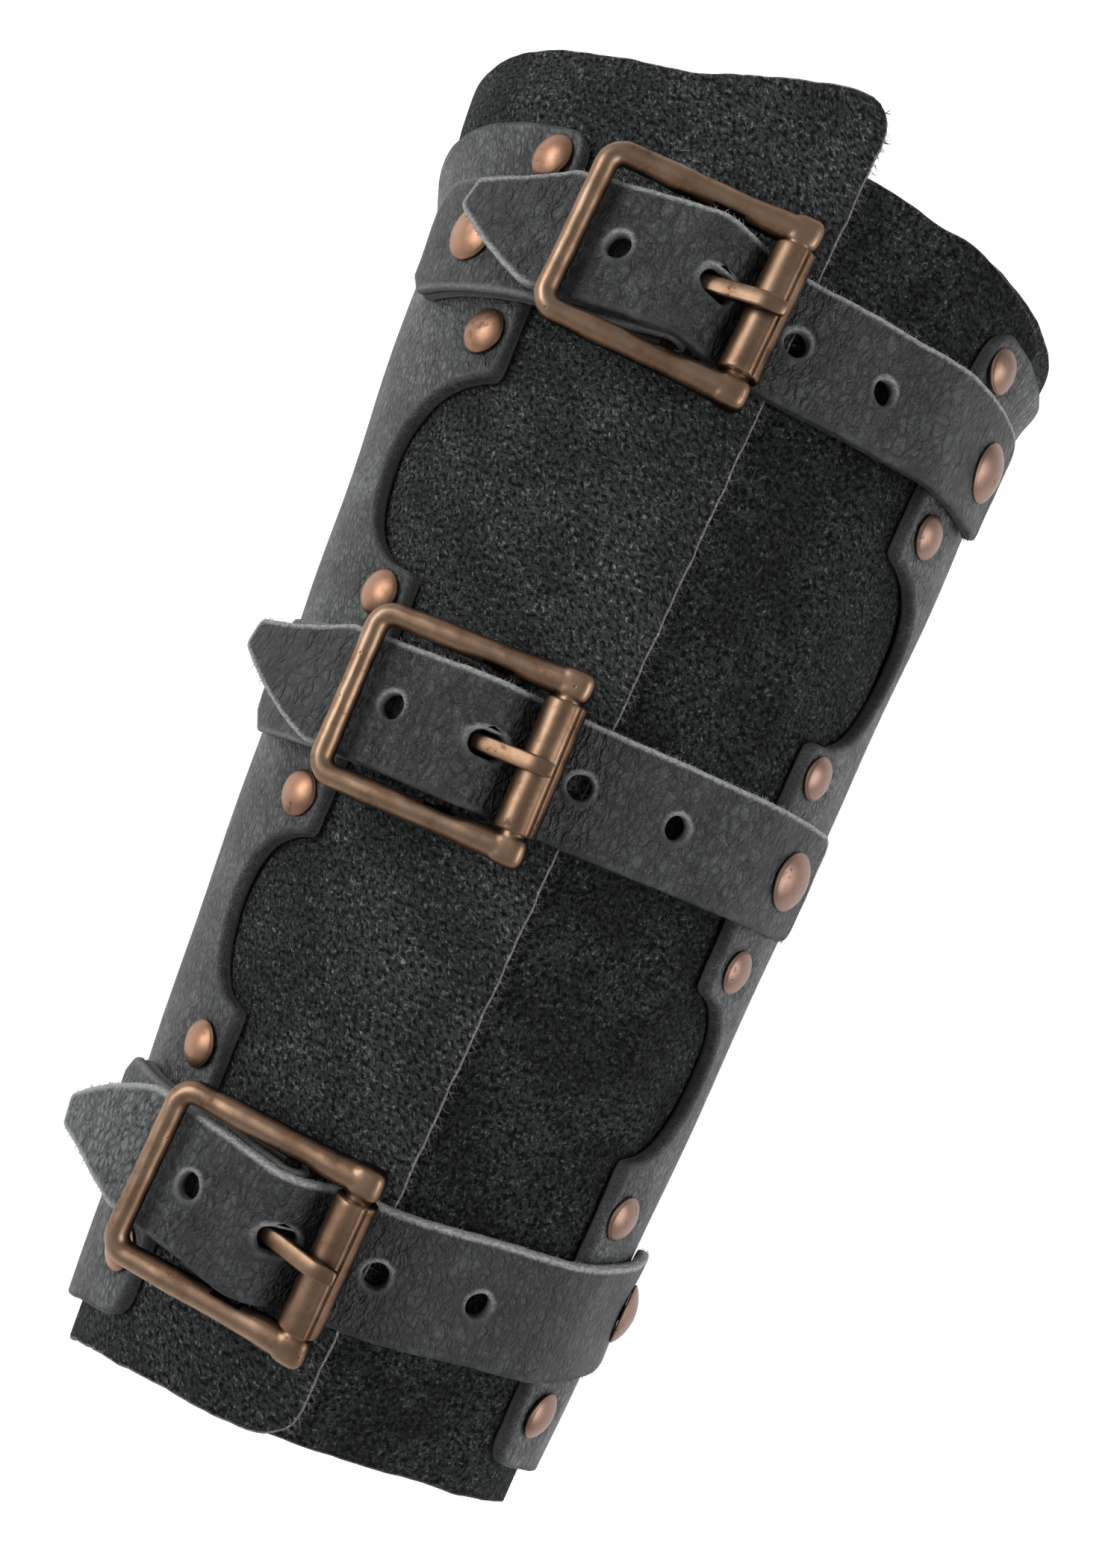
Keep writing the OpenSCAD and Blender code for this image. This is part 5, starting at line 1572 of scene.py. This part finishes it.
# %% Bronze and copper
def metal(name, bright, mid, dark, reach, rough, tarnished=None):
    """Bright where the attribute passes the reach, dark well below: painted highlight and shade."""
    f = Finish(name)
    where, lit_and_rubbed = f.node("TexCoord")["Object"], f.attribute("lit_and_rubbed")
    cloud, spots = f.noise(where, 6.5, 3.0, 0.55), f.noise(where, 1.3, 4.0, 0.65)
    brushed = f.noise(f.stretched(where, (0.2, 1, 1)), 0.3, 2.0)
    # The attribute paints highlight and shade by how each face turns, with rubbing and patina; the
    # noise adds stains.
    high = lit_and_rubbed + (cloud - 0.5) * 1.1 + (spots - 0.5) * 0.35
    colour = f.mix(f.fade(high, reach - 0.75, reach - 0.2), dark, mid)
    colour = f.mix(f.fade(high, reach - 0.25, reach + 0.4) * 0.85, colour, bright)
    if tarnished:
        right = f.fade(f.node("SeparateXYZ", {}, {0: where})["X"], -0.01, 0.01)
        colour = f.mix(right * 0.85, colour, tarnished)
    stain = f.fade(spots * 0.5 + cloud * 0.5, 0.44, 0.34)
    pits = f.fade(f.cells(where, 2.6), 0.12, 0.04) * f.fade(f.noise(where, 7, 1.0), 0.5, 0.6)
    colour = f.mix((stain * 0.45 + pits * 0.6).clip(0, 1), colour, dark)
    height = cloud * 0.06 - pits * 0.05 + brushed * 0.006
    roughness = rough + stain * 0.14 + (brushed - 0.5) * 0.08
    roughness = roughness + f.fade(high, reach, reach - 0.6) * 0.1
    f.principled(height, {"Base Color": colour, "Roughness": roughness,
                          "Metallic": 1 - stain * 0.2})
    return f


metal("buckle_bronze", paint(158, 133, 111), paint(122, 95, 75), paint(36, 26, 21),
      0.78, 0.4).dress(*cast_frames, *prongs)
metal("roller_bronze", paint(150, 124, 102), paint(114, 88, 69), paint(42, 30, 25),
      0.8, 0.4).dress(*rollers)
posts = [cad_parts[n] for n in ("small_rivet_posts", "large_rivet_posts")]
metal("rivet_copper", paint(166, 128, 104), paint(126, 95, 77), paint(62, 42, 34),
      0.62, 0.42, paint(130, 107, 97)).dress(small_caps, large_caps, *posts)
print("finishes", [m.name for m in bpy.data.materials])

# %% [markdown]
# In the photo the light is soft and white and comes from both sides, and the metal mirrors a dark
# place above it and bright walls round it. Two wide panels and a sky that is bright at the horizon
# and dim overhead do the same. The floor is white; a little glow of its own, seen by the camera and
# by mirrors, lifts it to the white of the photo's ground and leaves the shadow.

# %% Floor, lights and sky
scene = bpy.context.scene
scene.view_settings.view_transform = "Standard"


def panel(name, place, size, power):
    lamp = bpy.data.lights.new(name, "AREA")
    lamp.shape, lamp.size, lamp.size_y, lamp.energy = "RECTANGLE", size[0], size[1], power
    obj = bpy.data.objects.new(name, lamp)
    obj.location = place
    obj.rotation_euler = (Vector((0, 0, 0.06)) - Vector(place)).to_track_quat("-Z", "Y").to_euler()
    scene.collection.objects.link(obj)
    return obj


panel("left_panel", (-0.72, 0.12, 0.62), (0.75, 0.4), 5.2)
panel("right_panel", (0.72, -0.08, 0.62), (0.75, 0.4), 4.6)

ground = Finish("pale_floor")
rays = ground.node("LightPath")
seen = rays["Is Camera Ray"] + rays["Is Glossy Ray"] + rays["Is Transmission Ray"]
matte = ground.node("BsdfDiffuse", {}, {"Color": (0.9, 0.9, 0.9, 1)})
glow = ground.node("Emission", {}, {"Color": (1, 1, 1, 1), "Strength": seen.clip(0, 1) * 0.5})
ground.surface(ground.node("AddShader", {}, {0: matte, 1: glow}))
floor = make_mesh("floor", [(-3000, -3000, 0), (3000, -3000, 0), (3000, 3000, 0), (-3000, 3000, 0)],
                  [(0, 1, 2, 3)], False)
floor.location.z = -0.0005
ground.dress(floor)

world = bpy.data.worlds.new("studio")
world.use_nodes = True
scene.world = world
sky = Finish("sky", world.node_tree)
way = sky.node("SeparateXYZ", {}, {0: sky.node("TexCoord")["Generated"]})
tone = sky.node("ValToRGB", {"stops": [(0, (1, 1, 1, 1)), (0.25, (0.85, 0.85, 0.85, 1)),
                                       (0.6, (0.42, 0.42, 0.42, 1)), (1, (0.36, 0.36, 0.36, 1))]},
                {0: way["Z"].clip(0, 1)})
sky.node("OutputWorld", {}, {0: sky.node("Background", {}, {"Color": tone, "Strength": 0.8})})
print("lamps", len(bpy.data.lights))

# %% [markdown]
# The camera stands where the photo's camera stood. Its place and turn were solved from the corners
# of the buckles, the rivets and the strap holes, each found in the photo and known in the model.

# %% Camera
CAMERA_AT, LENS, FILM_H = (-8.7, -33.8, 339.4), 31.44, 36
view, up = Vector((-0.04446, -0.14306, 0.98871)), Vector((-0.37577, 0.91941, 0.11614))
cam_data = bpy.data.cameras.new("camera")
cam_data.sensor_fit, cam_data.sensor_height, cam_data.lens = "VERTICAL", FILM_H, LENS
cam_data.clip_start = 0.01
cam = bpy.data.objects.new("camera", cam_data)
cam.matrix_world = Matrix((up.cross(view), up, view)).transposed().to_4x4()
cam.location = Vector(CAMERA_AT) * MM
scene.collection.objects.link(cam)
scene.camera = cam
print("camera", round(cam.location.z, 3), "m above the floor")
